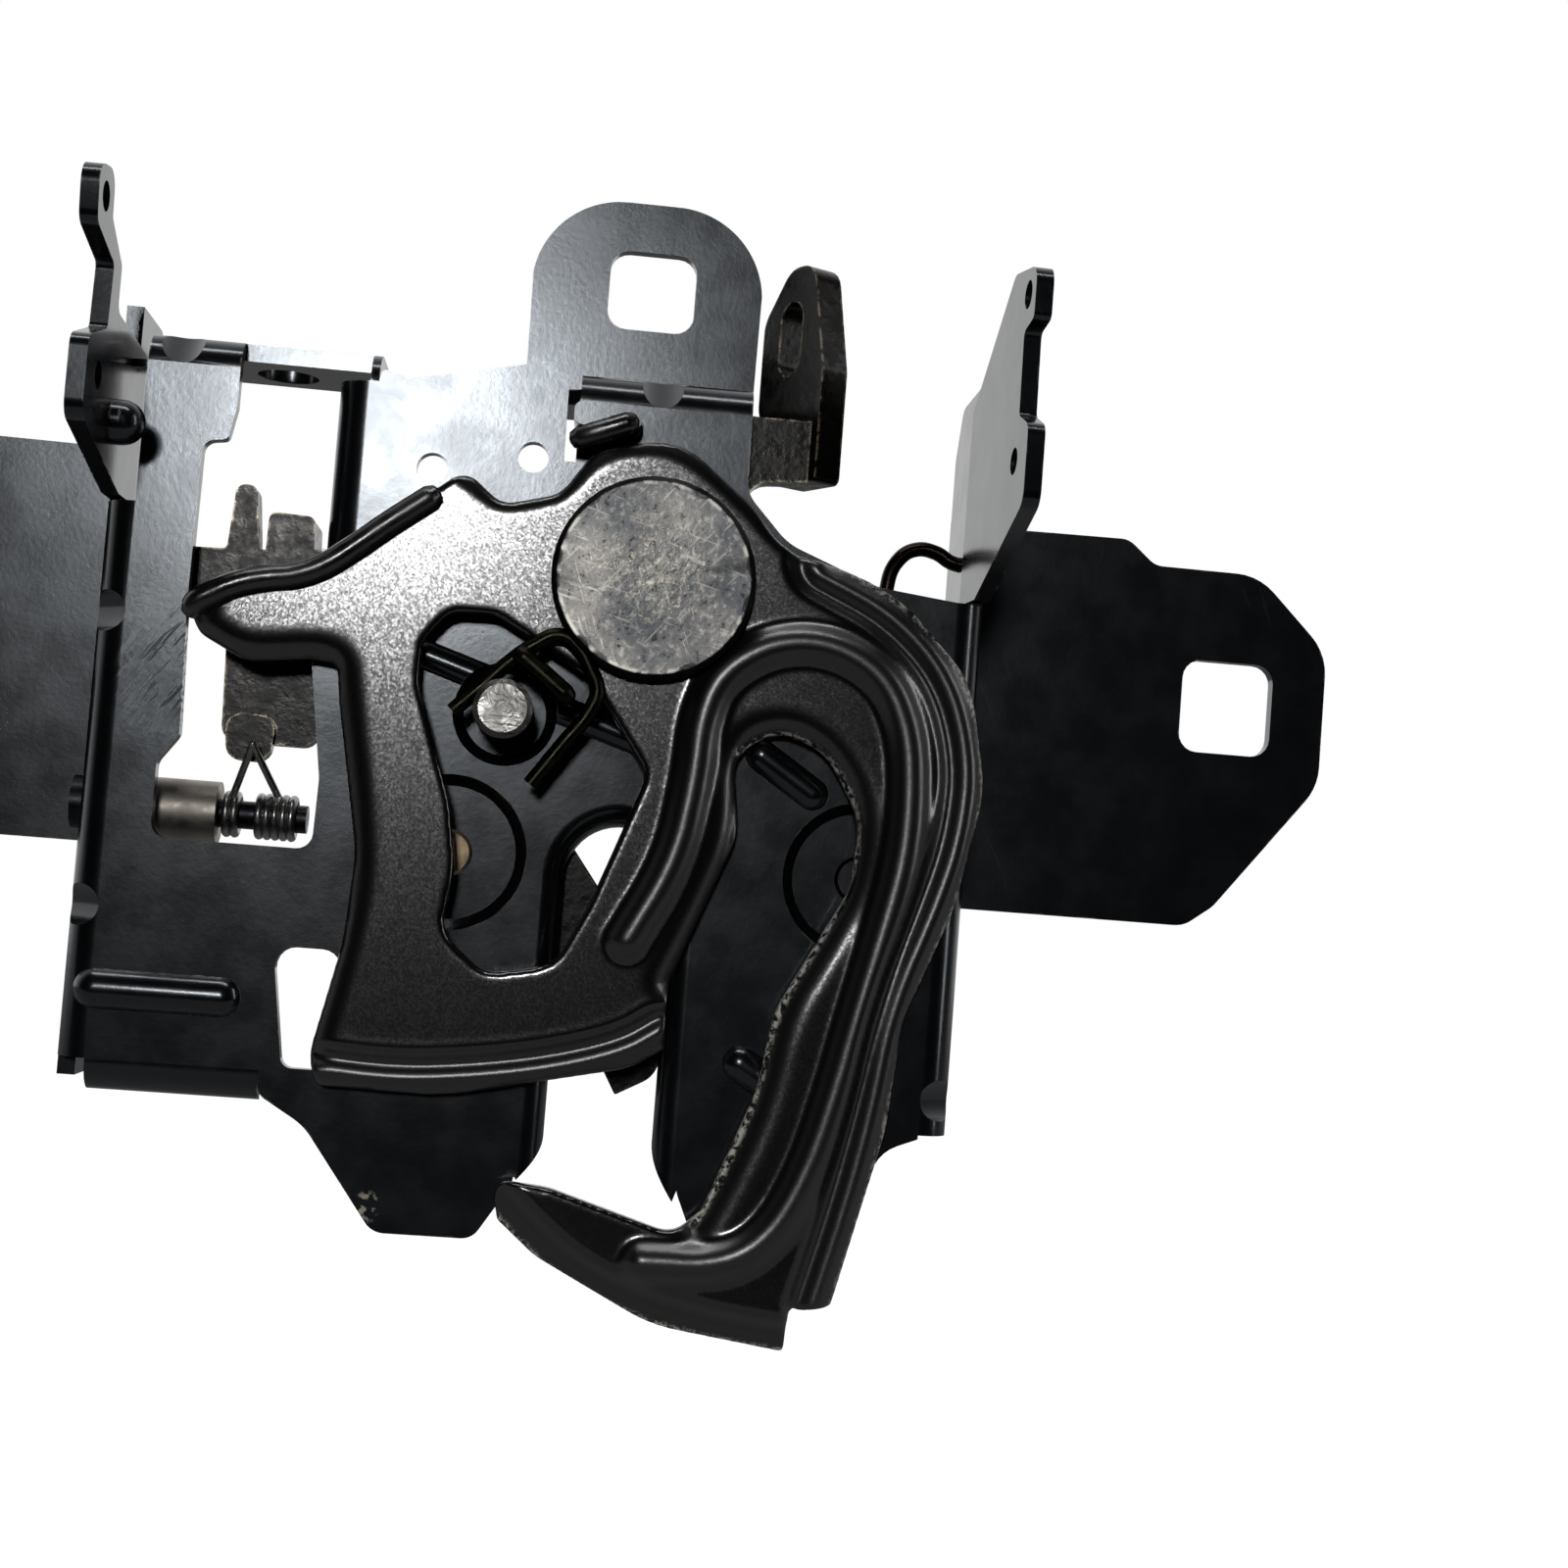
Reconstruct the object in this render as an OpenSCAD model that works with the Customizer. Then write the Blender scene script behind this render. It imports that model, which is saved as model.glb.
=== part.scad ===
// Bonnet latch: a folded sheet case with a safety hook in front and a rotary catch behind.
// Frame: X to the right, Y to the back, Z up as pictured, throat opening downwards.
// Origin: midway between the two side bolt holes, on the plane that meets the car body.

/* [Case] */
// Thickness of the folded sheet
sheet = 2.2; // [2:0.1:2.4]
// Width over the two side walls
case_w = 113; // [112:0.5:115]
// Depth from the mounting plane to the front face
case_d = 26; // [26:0.5:28]
// Height of the top flange above the bolt holes
face_top = 34; // [33.5:0.5:35]
// Drop of the lower left edge below the bolt holes
face_low = 62; // [61:0.5:63]
// Outside radius of the folds
fold_r = 4; // [3.6:0.1:4.4]
// Outward lean of the right forward arm, in degrees
arm_lean = 3.5; // [0:0.5:5]
// Outward lean of the left forward arm, in degrees
left_arm_lean = 1.5; // [0:0.5:3]
// Reach of the forward arms in front of the face
arm_reach = 23; // [20:1:26]

/* [Mounting] */
// Distance between the two side bolt holes
bolt_span = 191; // [189:1:195]
// Side of the square holes in the side tabs
bolt_hole = 13; // [11:0.5:14]
// Corner radius of the square holes
bolt_hole_r = 2.6; // [1:0.1:3]
// Place of the top bolt hole across the latch
top_bolt_x = 10.4; // [9:0.2:12]
// Height of the top bolt hole
top_bolt_z = 51; // [50:0.5:53]
// Width of the top bolt hole
top_hole_w = 12; // [10:0.5:13]
// Height of the top bolt hole's opening
top_hole_h = 11; // [10:0.5:12]

/* [Throat] */
// Centre of the striker throat across the latch
throat_x = 11.8; // [11.4:0.1:12.2]
// Clear width of the throat between its rolled lips
throat_w = 13.8; // [13:0.2:15]
// Height of the centre of the throat's round end
throat_z = -31; // [-32:0.5:-30]
// Outside radius of the rolled lip
lip_r = 3; // [2.6:0.1:3.2]

/* [Safety hook] */
// Thickness of the hook's sheet
hook_t = 2.5; // [2:0.1:2.6]
// Gap between the front face and the back of the hook
hook_gap = 2.6; // [2.4:0.1:3]
// Height of the pressed beads on the hook
bead_h = 1.9; // [1.4:0.1:2.2]
// Width of the main bead
bead_w = 5.4; // [4.6:0.2:6]
// Place of the hook's pivot across the latch
hook_x = 13; // [12.6:0.1:13.4]
// Height of the hook's pivot
hook_z = 7; // [6.6:0.1:7.4]
// Diameter of the big rivet head
rivet_head_d = 25.6; // [24:0.2:27]
// Diameter of the rivet's shoulder in the hook
hook_bore_d = 15; // [13:0.5:16]

/* [Mechanism] */
// Thickness of the catch, pawl and release lever
lever_t = 4; // [3.4:0.1:4.2]
// Place of the catch pivot across the latch
catch_x = -10; // [-10.2:0.1:-9.8]
// Height of the catch pivot
catch_z = -29; // [-29.2:0.1:-28.8]
// Distance of the pawl pivot from the inside of the right wall
pawl_in = 11.8; // [11.6:0.1:12]
// Height of the pawl pivot
pawl_z = -28.5; // [-28.7:0.1:-28.3]
// Angle the catch turns from open to shut
catch_turn = 60; // [56:1:60]
// Diameter of the catch and pawl shoulders
pivot_d = 11; // [9:0.5:12]
// Diameter of the release lever's shoulder
lever_bore_d = 11; // [9:0.5:12]
// Width of the slotted cable eye
eye_w = 5; // [4:0.5:6]
// Length of the slotted cable eye
eye_l = 10; // [9:0.5:11]

/* [Springs and pins] */
// Diameter of the stop pin
stop_d = 7.4; // [6.6:0.2:7.8]
// Wire diameter of the hook spring
clip_wire = 2.2; // [1.8:0.1:2.4]
// Wire diameter of the pawl spring
pawl_wire = 2; // [1.6:0.1:2.2]
// Wire diameter of the catch spring
catch_wire = 1.8; // [1.4:0.1:2]
// Wire diameter of the return spring
return_wire = 1.1; // [0.9:0.1:1.2]
// Diameter of the return spring's pin
spring_pin_d = 3.6; // [3:0.1:3.8]

/* [Fits] */
// Radial clearance of a turning fit
run_fit = 0.06; // [0.02:0.01:0.1]
// Radial clearance of a loose piece on a pin
loose_fit = 0.1; // [0.05:0.05:0.2]
// Side clearance between stacked pieces
side_gap = 0.2; // [0.1:0.05:0.3]

/* [Hidden] */
$fn = 48;

// Planes of the sheet, counted along Y
face_y = -case_d;
face_back = face_y + sheet;
half_w = case_w / 2;
wall_in = half_w - sheet;
flat_x = half_w - fold_r;
fold_y = face_y + fold_r;
flange_z = face_top - sheet;

// Layers of the hook and of the mechanism
hook_back = face_y - hook_gap;
hook_front = hook_back - hook_t;
lever_front = fold_y + 0.4;
lever_back = lever_front + lever_t;
spring_y = lever_back + side_gap;
spring_room = 3 * pawl_wire + 1.9;
bridge_front = spring_y + spring_room;
bridge_back = bridge_front + sheet;
dish_depth = lever_front - side_gap - face_back;
pivot_dish_d = 17;
stop_dish_d = 10.4;
stop_dish = 1.2;
dish_slope = 1.4;
pivot_rim_d = pivot_dish_d + 2 * dish_slope;
stop_rim_d = stop_dish_d + 2 * dish_slope;

pawl_x = wall_in - pawl_in;
hook_pivot = [hook_x, hook_z];
catch_pivot = [catch_x, catch_z];
pawl_pivot = [pawl_x, pawl_z];
stop_at = [-4.3, -11];
stop_shank_d = 5;
boss_d = 5.6;
boss_out = 1.4;
spring_pin_at = [fold_y + 3.5, -26.2];
pawl_leg_y = spring_y + 3.4;

// Outline tools: corners are [x, y, radius]
function unit(v) = v / norm(v);
function flat(p) = [p[0], p[1]];
function arc(centre, r, a0, a1, n) =
    [for (i = [0:n]) centre + r * [cos(a0 + (a1 - a0) * i / n), sin(a0 + (a1 - a0) * i / n)]];
function bend(a, b, c, r) =
    let (u = unit(a - b),
         w = unit(c - b),
         half = acos(max(-1, min(1, u * w))) / 2,
         reach = min(r / tan(half), 0.48 * norm(a - b), 0.48 * norm(c - b)),
         rr = reach * tan(half),
         centre = b + unit(u + w) * rr / sin(half),
         p0 = b + u * reach,
         p1 = b + w * reach,
         a0 = atan2(p0[1] - centre[1], p0[0] - centre[0]),
         sweep = (atan2(p1[1] - centre[1], p1[0] - centre[0]) - a0 + 540) % 360 - 180)
    [p0, p1, centre, rr, a0, sweep];
function corner(a, b, c, r, n) = let (k = bend(a, b, c, r)) arc(k[2], k[3], k[4], k[4] + k[5], n);
function rounded(pts, n = 5) =
    let (m = len(pts))
    [for (i = [0:m - 1])
        each (pts[i][2] > 0
            ? corner(flat(pts[(i + m - 1) % m]), flat(pts[i]), flat(pts[(i + 1) % m]), pts[i][2], n)
            : [flat(pts[i])])];
function eased(pts, n = 5) =
    let (m = len(pts))
    [for (i = [0:m - 1])
        each (i > 0 && i < m - 1 && pts[i][2] > 0
            ? corner(flat(pts[i - 1]), flat(pts[i]), flat(pts[i + 1]), pts[i][2], n)
            : [flat(pts[i])])];
function heading(path, i) = unit(path[min(i + 1, len(path) - 1)] - path[max(i - 1, 0)]);
function side(path, d) =
    [for (i = [0:len(path) - 1]) let (t = heading(path, i)) path[i] + d * [-t[1], t[0]]];
function reversed(list) = [for (i = [len(list) - 1:-1:0]) list[i]];
function shortened(path, d) =
    let (m = len(path) - 1)
    concat([path[0] + d * heading(path, 0)],
           [for (i = [1:m - 1]) path[i]],
           [path[m] - d * heading(path, m)]);
function band(path, d0, d1) = concat(side(path, -d0), reversed(side(path, -d1)));

// Prisms along the three axes; the flat shape is drawn in x and z, in y and z, or in x and y
module slab(y0, y1) { translate([0, y1, 0]) rotate([90, 0, 0]) linear_extrude(y1 - y0) children(); }
module web(x0, x1) { translate([x0, 0, 0]) rotate([90, 0, 90]) linear_extrude(x1 - x0) children(); }
module shelf(z0, z1) { translate([0, 0, z0]) linear_extrude(z1 - z0) children(); }
module disc(at, y0, y1, d) { translate([at[0], y1, at[1]]) rotate([90, 0, 0]) cylinder(h = y1 - y0, d = d); }
module turned(at) { translate([at[0], 0, at[1]]) rotate([-90, 0, 0]) rotate_extrude() children(); }

// Folds of the sheet
module fold_z(x, y, start, z0, z1, r = fold_r) {
    translate([x, y, z0]) rotate([0, 0, start]) rotate_extrude(angle = 90)
        translate([r - sheet, 0]) square([sheet, z1 - z0]);
}
module fold_x(y, z, start, x0, x1, r = fold_r) {
    translate([x0, y, z]) rotate([90, 0, 90]) rotate([0, 0, start]) rotate_extrude(angle = 90)
        translate([r - sheet, 0]) square([sheet, x1 - x0]);
}

// Wires: straight runs joined by slightly fuller balls
module run(a, b, r) {
    d = b - a;
    translate(a) rotate([0, acos(d[2] / norm(d)), atan2(d[1], d[0])]) cylinder(h = norm(d), r = r);
}
module wire(path, d) {
    for (i = [0:len(path) - 2]) run(path[i], path[i + 1], d / 2);
    for (i = [1:len(path) - 2]) translate(path[i]) sphere(r = d / 2 + 0.06);
}
module turns(count, r, d) {
    rotate_extrude($fn = 96) for (i = [0:count - 1]) translate([r, i * d * 0.94]) circle(d = d, $fn = 48);
}

// Square bolt hole with rounded corners
module square_hole(at, w, h) {
    polygon(rounded([for (s = [[1, 1], [-1, 1], [-1, -1], [1, -1]])
        [at[0] + s[0] * w / 2, at[1] + s[1] * h / 2, bolt_hole_r]]));
}

// Outlines of the case
arch_r = throat_w / 2 + lip_r;
throat_left = throat_x - arch_r;
throat_right = throat_x + arch_r;
lip_low = -64;
tongue_flat = -24.7;
face_outline = concat(
    rounded([[-flat_x, face_top - fold_r, 0], [-23.6, face_top - fold_r, 0], [-23.3, 31.8, 0.8],
             [-20, 30.6, 1.5], [-2.5, 34.6, 2], [0.4, 33, 1], [0.5, 22, 0], [2, 22, 0],
             [2, face_top - fold_r, 0], [24.2, face_top - fold_r, 0], [24.3, 20, 4], [30, 14, 8],
             [42, 9.4, 10], [flat_x, 8.3, 0],
             [flat_x, -61, 0], [47.5, -63, 6], [45, -73, 6], [41, -78.5, 4], [26, -78.5, 4],
             [throat_right + 0.6, -70, 4], [throat_right, lip_low, 0]]),
    arc([throat_x, throat_z], arch_r, 0, 180, 18),
    rounded([[throat_left, lip_low, 0], [throat_left - 0.4, -70, 4], [-3, -77.2, 2.5], [-15.5, -77.2, 3],
             [-25, -64.5, 8], [-31, -61, 2], [-31.2, fold_r - face_low, 0],
             [-flat_x, fold_r - face_low, 0]]));
window_outline = rounded([[-41, 34.5, 0], [-41, 25, 2], [-41.8, 20.8, 0.8], [-44.8, 20.4, 1.5], [-45, 0, 3],
                          [-44.5, -17, 2], [-47, -20.5, 2], [-47, -30, 2], [-27, -30, 2], [-26.8, -21, 6],
                          [-28.9, -6.9, 6], [-28.9, 34.5, 0]]);
relief_outline = rounded([[-30.6, -42.4, 2.5], [-22, -42.4, 2.5], [-22, -57.5, 1.5], [-28.4, -57.5, 1.5]]);
left_arm_outline = rounded([[-18, 12.5, 0], [-27, 12.5, 0], [-26 - arm_reach, 18, 2.5],
    [-26 - arm_reach, 27.5, 2], [-17.5 - arm_reach, 30.2, 1], [-17 - arm_reach, 38.2, 1],
    [-27 - arm_reach, 40.6, 2], [-28 - arm_reach, 47.4, 2.5], [-20.4 - arm_reach, 48.6, 2.5],
    [-19.8 - arm_reach, 43, 1], [-13 - arm_reach, 39, 1], [-13 - arm_reach, 33.4, 1.5], [-18, 32, 0]]);
right_arm_outline = rounded([[-18, 9, 0], [-26.5, 8.8, 0], [-26 - arm_reach, 18, 2.5],
    [-26 - arm_reach, 27.5, 2], [-21 - arm_reach, 29.5, 1], [-20.5 - arm_reach, 40, 1],
    [-25 - arm_reach, 40.8, 1], [-25 - arm_reach, 47.2, 2.5], [-14 - arm_reach, 48.8, 2.5], [-18, 35, 0]]);
wall_outline = rounded([[fold_y, -60.5, 0], [-13, -60.5, 4], [-fold_r, -48, 4], [-fold_r, 31, 3],
                        [-8, 37.5, 3], [fold_y, 37.5, 0]]);
tab_outline = rounded([[half_w + fold_r - sheet, 22.5, 0], [80, 22.7, 3], [84, 19.3, 3], [99, 19.2, 8],
                       [109.5, 9, 8], [109.5, -10, 8], [95.5, -28, 5], [91.5, -31, 4],
                       [half_w + fold_r - sheet, -31, 0]]);
top_tab_outline = rounded([[-6, face_top + fold_r - sheet, 0], [-6.3, 54, 7], [-3, 61, 5], [4, 63.3, 6],
                           [15, 63.3, 6], [23, 60, 5], [25.7, 53, 6], [25.5, face_top + fold_r - sheet, 0]]);

// Embossments of the case
module dish_ring(at, flat_d, depth) {
    floor_r = flat_d / 2;
    rim = floor_r + dish_slope;
    turned(at) polygon([[0, face_y + depth], [floor_r, face_y + depth], [rim, face_y], [rim + 0.01, face_y],
                        [rim + 0.01, face_back], [rim - 0.6, face_back], [floor_r - 0.6, face_back + depth],
                        [0, face_back + depth]]);
}
module plate_bead(a, b, w, h) {
    r = (w * w / 4 + h * h) / (2 * h);
    intersection() {
        wire_like(a, b, r, face_y - h + r);
        translate([-60, face_y - h - 1, -90]) cube([120, h + 1 + sheet / 2, 140]);
    }
}
module wire_like(a, b, r, y) {
    run([a[0], y, a[1]], [b[0], y, b[1]], r);
    for (p = [a, b]) translate([p[0], y, p[1]]) sphere(r = r * 1.0005, $fn = 48);
}
dart_d = 7;
dart_out = fold_r + dart_d / 2 - 1.2;
module dart_side(s, z) {
    translate([s * flat_x, fold_y, z]) rotate([0, 0, s * 45]) translate([0, -dart_out, 0])
        rotate([0, 90, 0]) cylinder(h = 14, d = dart_d, center = true);
}
module dart_top(x) {
    translate([x, fold_y, face_top - fold_r]) rotate([-45, 0, 0]) translate([0, -dart_out, 0])
        cylinder(h = 14, d = dart_d, center = true);
}

// The folded case: face, walls, arms, tabs and flanges in one sheet
module lock_plate() {
    color("#1b1c1f") difference() {
        union() {
            difference() {
                slab(face_y, face_back) polygon(face_outline);
                for (p = [catch_pivot, pawl_pivot]) disc(p, face_y - 1, face_back + 1, pivot_rim_d);
                disc(stop_at, face_y - 1, face_back + 1, stop_rim_d);
                slab(face_y - 1, face_back + 1)
                    translate([tongue_flat - fold_r - 0.5, 8]) square([fold_r + 0.5, 30]);
            }
            fold_z(tongue_flat, fold_y, 180, 8, face_top - fold_r);
            for (p = [catch_pivot, pawl_pivot]) dish_ring(p, pivot_dish_d, dish_depth);
            dish_ring(stop_at, stop_dish_d, stop_dish);
            // throat lip
            for (s = [0, 1]) translate([throat_x, 0, 0]) mirror([s, 0, 0])
                fold_z(-arch_r, face_y + lip_r, 270, lip_low, throat_z, lip_r);
            translate([throat_x, 0, throat_z]) rotate([90, 0, 0]) rotate_extrude(angle = 180)
                intersection() {
                    translate([arch_r, -face_y - lip_r]) difference() {
                        circle(r = lip_r);
                        circle(r = lip_r - sheet);
                    }
                    translate([arch_r - lip_r, -face_y - lip_r]) square(lip_r);
                }
            // side folds, walls and arms
            fold_z(-flat_x, fold_y, 180, fold_r - face_low, 12);
            fold_z(-flat_x, fold_y, 180, 29, face_top - fold_r);
            fold_z(flat_x, fold_y, 270, -60.5, 8.3);
            web(wall_in, half_w) polygon(wall_outline);
            web(-half_w, -wall_in) polygon(wall_outline);
            translate([half_w, fold_y, 0]) rotate([0, 0, arm_lean]) translate([-half_w, -fold_y, 0])
                web(wall_in, half_w) polygon(right_arm_outline);
            translate([-half_w, fold_y, 0]) rotate([0, 0, -left_arm_lean]) translate([half_w, -fold_y, 0])
                web(-half_w, -wall_in) polygon(left_arm_outline);
            // side tabs
            for (s = [0, 1]) mirror([s, 0, 0]) {
                fold_z(half_w + fold_r - sheet, -fold_r, 90, -31, 22.5);
                slab(-sheet, 0) polygon(tab_outline);
            }
            // top flange and top tab
            fold_x(fold_y, face_top - fold_r, 90, -flat_x, -41);
            fold_x(fold_y, face_top - fold_r, 90, tongue_flat, -23.6);
            fold_x(fold_y, face_top - fold_r, 90, 2, 24.2);
            shelf(flange_z, face_top)
                polygon([[-flat_x, fold_y], [-23.6, fold_y], [-23.6, -8], [-flat_x, -8]]);
            shelf(flange_z, face_top)
                polygon([[2, fold_y], [24.2, fold_y], [25.5, -fold_r], [-6, -fold_r], [-6, -10], [2, -14]]);
            fold_x(-fold_r, face_top + fold_r - sheet, 270, -6, 25.5);
            slab(-sheet, 0) polygon(top_tab_outline);
            // lower left flange and the switch tongue's flange
            fold_x(fold_y, fold_r - face_low, 180, -flat_x, -31.2);
            // beads and the hook's stop tab
            plate_bead([-52, -49.3], [-36.6, -49.3], 5, 1.4);
            plate_bead([28.8, -13.6], [35.6, -18], 4.2, 1.2);
            plate_bead([29, -53], [34, -56], 4.6, 1.3);
            difference() {
                plate_bead([-14.6, -4.4], [13.4, -13.2], 3.8, 1.2);
                disc(stop_at, face_y - 3, face_back, stop_rim_d);
            }
            // boss on the left arm
            translate([-wall_in - 0.6, face_y - 7, 20.4]) rotate([0, 90, 0]) {
                cylinder(h = boss_out, d = boss_d);
                translate([0, 0, boss_out]) scale(0.999) sphere(d = boss_d);
            }
            slab(hook_front, face_y + 0.5)
                polygon(rounded([[1.4, 25.9, 1.2], [10, 25.9, 1.2], [10, 29, 1.2], [1.4, 29, 1.2]]));
        }
        slab(face_y - 4, lever_front - 0.5) polygon(window_outline);
        slab(face_y - 4, lever_front - 0.5) polygon(relief_outline);
        // darts across the folds
        for (z = [-2, -39]) dart_side(-1, z);
        dart_side(1, -56);
        for (x = [-48.5, 12.5]) dart_top(x);
        // bolt holes
        for (s = [1, -1]) slab(-sheet - 1, 1) square_hole([s * bolt_span / 2, 0], bolt_hole, bolt_hole);
        slab(-sheet - 1, 1) square_hole([top_bolt_x, top_bolt_z], top_hole_w, top_hole_h);
        // pivots
        disc(hook_pivot, face_y - 1, face_back + 1, lever_bore_d);
        for (p = [catch_pivot, pawl_pivot]) disc(p, face_y - 1, lever_front, 6);
        disc(stop_at, face_y - 1, face_back + stop_dish + 1, stop_shank_d);
        // switch plate holes and cable hole
        disc([-16, 19.5], face_y - 1, face_back + 1, 4);
        disc([-3.4, 22.1], face_y - 1, face_back + 1, 4);
        translate([-36.5, face_y + 11.5, flange_z - 1]) cylinder(h = sheet + 2, d = 8);
        // arm holes
        for (s = [-1, 1]) {
            translate([s * half_w, (s > 0 ? -21.5 : -24) - arm_reach, 44.4]) rotate([0, 90, 0])
                cylinder(h = 16, d = 3.6, center = true);
            translate([s * half_w, -20 - arm_reach, 24]) rotate([0, 90, 0])
                cylinder(h = 16, d = 3.4, center = true);
        }
        // spring holes in the walls
        translate([half_w, pawl_leg_y, 15]) rotate([0, 90, 0])
            cylinder(h = 10, d = pawl_wire + 2 * loose_fit, center = true);
        translate([-half_w, spring_pin_at[0], spring_pin_at[1]]) rotate([0, 90, 0])
            cylinder(h = 10, d = spring_pin_d, center = true);
    }
}

// Plate behind the mechanism that holds the back ends of the pivots
module backing_plate() {
    color("#232427") slab(bridge_front, bridge_back) difference() {
        polygon(rounded([[-22, -16, 8], [2, -12, 6], [pawl_x - 12.5, -12, 6], [wall_in - 1.3, -18, 8],
                         [wall_in - 1.3, -42, 8], [throat_right + 2.3, -46, 4],
                         [throat_right + 2, -46, 1], [throat_right + 2, -18.5, 9],
                         [throat_left - 2, -18.5, 9], [throat_left - 2, -42, 2], [-22, -40, 8]]));
        for (p = [catch_pivot, pawl_pivot]) translate(p) circle(d = 6);
    }
}

// Sections carried along a path as one solid: x is to the right of the way, y is the height
function ring(p, t, section, k = 1) =
    [for (q = section) [p[0] + k * q[0] * t[1], p[1] - k * q[0] * t[0], q[1] > 0 ? k * q[1] : q[1]]];
module loft(rings) {
    n = len(rings[0]);
    last = len(rings) - 1;
    polyhedron(points = [for (r = rings) each r],
        faces = concat([[for (j = [0:n - 1]) j]], [[for (j = [n - 1:-1:0]) last * n + j]],
            [for (i = [0:last - 1]) for (j = [0:n - 1])
                let (a = i * n + j, b = i * n + (j + 1) % n)
                each [[a, a + n, b + n], [a, b + n, b]]]));
}
module swept(path, section) {
    loft([for (i = [0:len(path) - 1]) ring(path[i], heading(path, i), section)]);
}
function bead_section(w, h, n) =
    let (r = (w * w / 4 + h * h) / (2 * h), half = asin(w / 2 / r))
    concat([[-w / 2, -bead_sink]],
           [for (i = [0:n]) let (a = 90 + half - 2 * half * i / n) r * [cos(a), sin(a)] + [0, h - r + 0.01]],
           [[w / 2, -bead_sink]]);
module bead(path, w, h) {
    section = bead_section(w, h, 5);
    last = len(path) - 1;
    t0 = heading(path, 0);
    t1 = heading(path, last);
    loft(concat([for (a = [75, 50, 25]) ring(path[0] - w / 2 * sin(a) * t0, t0, section, cos(a))],
                [for (i = [0:last]) ring(path[i], heading(path, i), section)],
                [for (a = [25, 50, 75]) ring(path[last] + w / 2 * sin(a) * t1, t1, section, cos(a))]));
}

// Safety hook: pressed sheet with a raised bead round its mouth and turned edges
hook_top = [[-44, -3.6, 2], [-41, 1.2, 3], [-35, 3.3, 4], [-28, 3.6, 5], [-15.5, 15.8, 3], [-11.5, 19, 2.5],
    [-6.7, 15, 3], [0.5, 17, 4], [4.6, 23.2, 6], [15, 25.4, 9], [25, 17.5, 9], [29, 12.5, 8], [36, 11, 8]];
outer_edge = [[40, 9.6, 0], [45, 7, 12], [54, -2, 12], [56.8, -16, 20], [54, -31, 25], [48.4, -46, 12],
    [47.2, -60, 20], [42.2, -80.8, 0]];
hook_notch = [[41.8, -82.4, 0.8], [38, -83, 0.8], [37.2, -82.4, 0.4], [37, -88.4, 1]];
beak_edge = [[35.8, -88.2, 0], [20, -86, 20], [5, -78.4, 10], [0, -74.2, 0]];
mouth_edge = [[25.4, -71.4, 0], [31.2, -56, 20], [32.6, -46, 12], [41, -30, 8], [41.8, -21, 9],
    [36.6, -12.6, 7], [30.2, -10.4, 5], [25, -14, 4], [26.4, -24, 8], [19, -43.4, 0]];
foot_edge = [[19, -51.8, 0], [14.6, -54.4, 10], [-8, -59.4, 30], [-21.9, -59.2, 0]];
hook_left = [[-23.6, -59.2, 2.4], [-24.8, -55.4, 4], [-21.8, -41, 20], [-21.2, -30, 15], [-24.9, -11, 15],
    [-25.4, -6.6, 1.6], [-29, -6.4, 3], [-36.5, -7.4, 5]];
hook_outline = rounded(concat(hook_top, outer_edge, hook_notch, beak_edge,
    [[-1.2, -69, 2], [6, -69.6, 8], [22, -74.4, 5]], mouth_edge, foot_edge, hook_left), 4);
hook_window = rounded([[-15, -3.2, 3], [-12, 0.8, 3], [-6.4, 1, 4], [6, -6, 5], [14.2, -17.4, 3],
    [8.3, -34, 15], [4.4, -42.2, 5], [-4, -43.8, 4], [-9.8, -39, 4], [-8.7, -31, 10],
    [-10, -23, 12], [-15.2, -8, 8]], 4);
main_bead = eased([[13.5, -38], [20, -24, 14], [21.5, -6, 9], [33, 2.5, 9], [46, -3, 12], [48.6, -20, 20],
    [43, -46, 30], [39.5, -63, 14], [33, -76, 9], [18, -78.2]], 4);
nose_rim = eased([[-42, -2.4], [-40, 0.2, 4], [-35, 1.8, 5], [-28, 2.2, 6], [-15, 14.4]], 3);
nose_rim_w = 3;
nose_rim_h = 2.2;

// Sections of the turned edges: distance inside the outline, height over the front of the sheet
bead_sink = 0.4;
turn_in = 4.5;
skin = 0.05;
root = 1.2;
end_lap = 0.4;
turn_drop = hook_t + hook_gap - 0.5;
foot_drop = turn_drop - 1.1;
lip_section = [[0, -2.6], [0.5, -1.9], [1.6, -1.6], [2.5, -2.2], [turn_in, -skin], [turn_in + root, -skin],
    [turn_in + root, skin - hook_t], [turn_in - 0.2, skin - hook_t], [2.6, -turn_drop], [0, -turn_drop]];
foot_section = [[0, -1.8], [0.6, -0.9], [1.4, -0.7], [2.5, -1.9], [turn_in - 0.6, -skin],
    [turn_in + root, -skin], [turn_in + root, skin - hook_t], [3.6, skin - hook_t], [2.5, -foot_drop],
    [0, -foot_drop]];
beak_section = [[0, -2.4], [2.2, -1.6], [turn_in - 0.3, -skin], [turn_in + root, -skin],
    [turn_in + root, skin - hook_t], [4, skin - hook_t], [2, 0.5 - turn_drop], [0, -turn_drop]];

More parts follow.
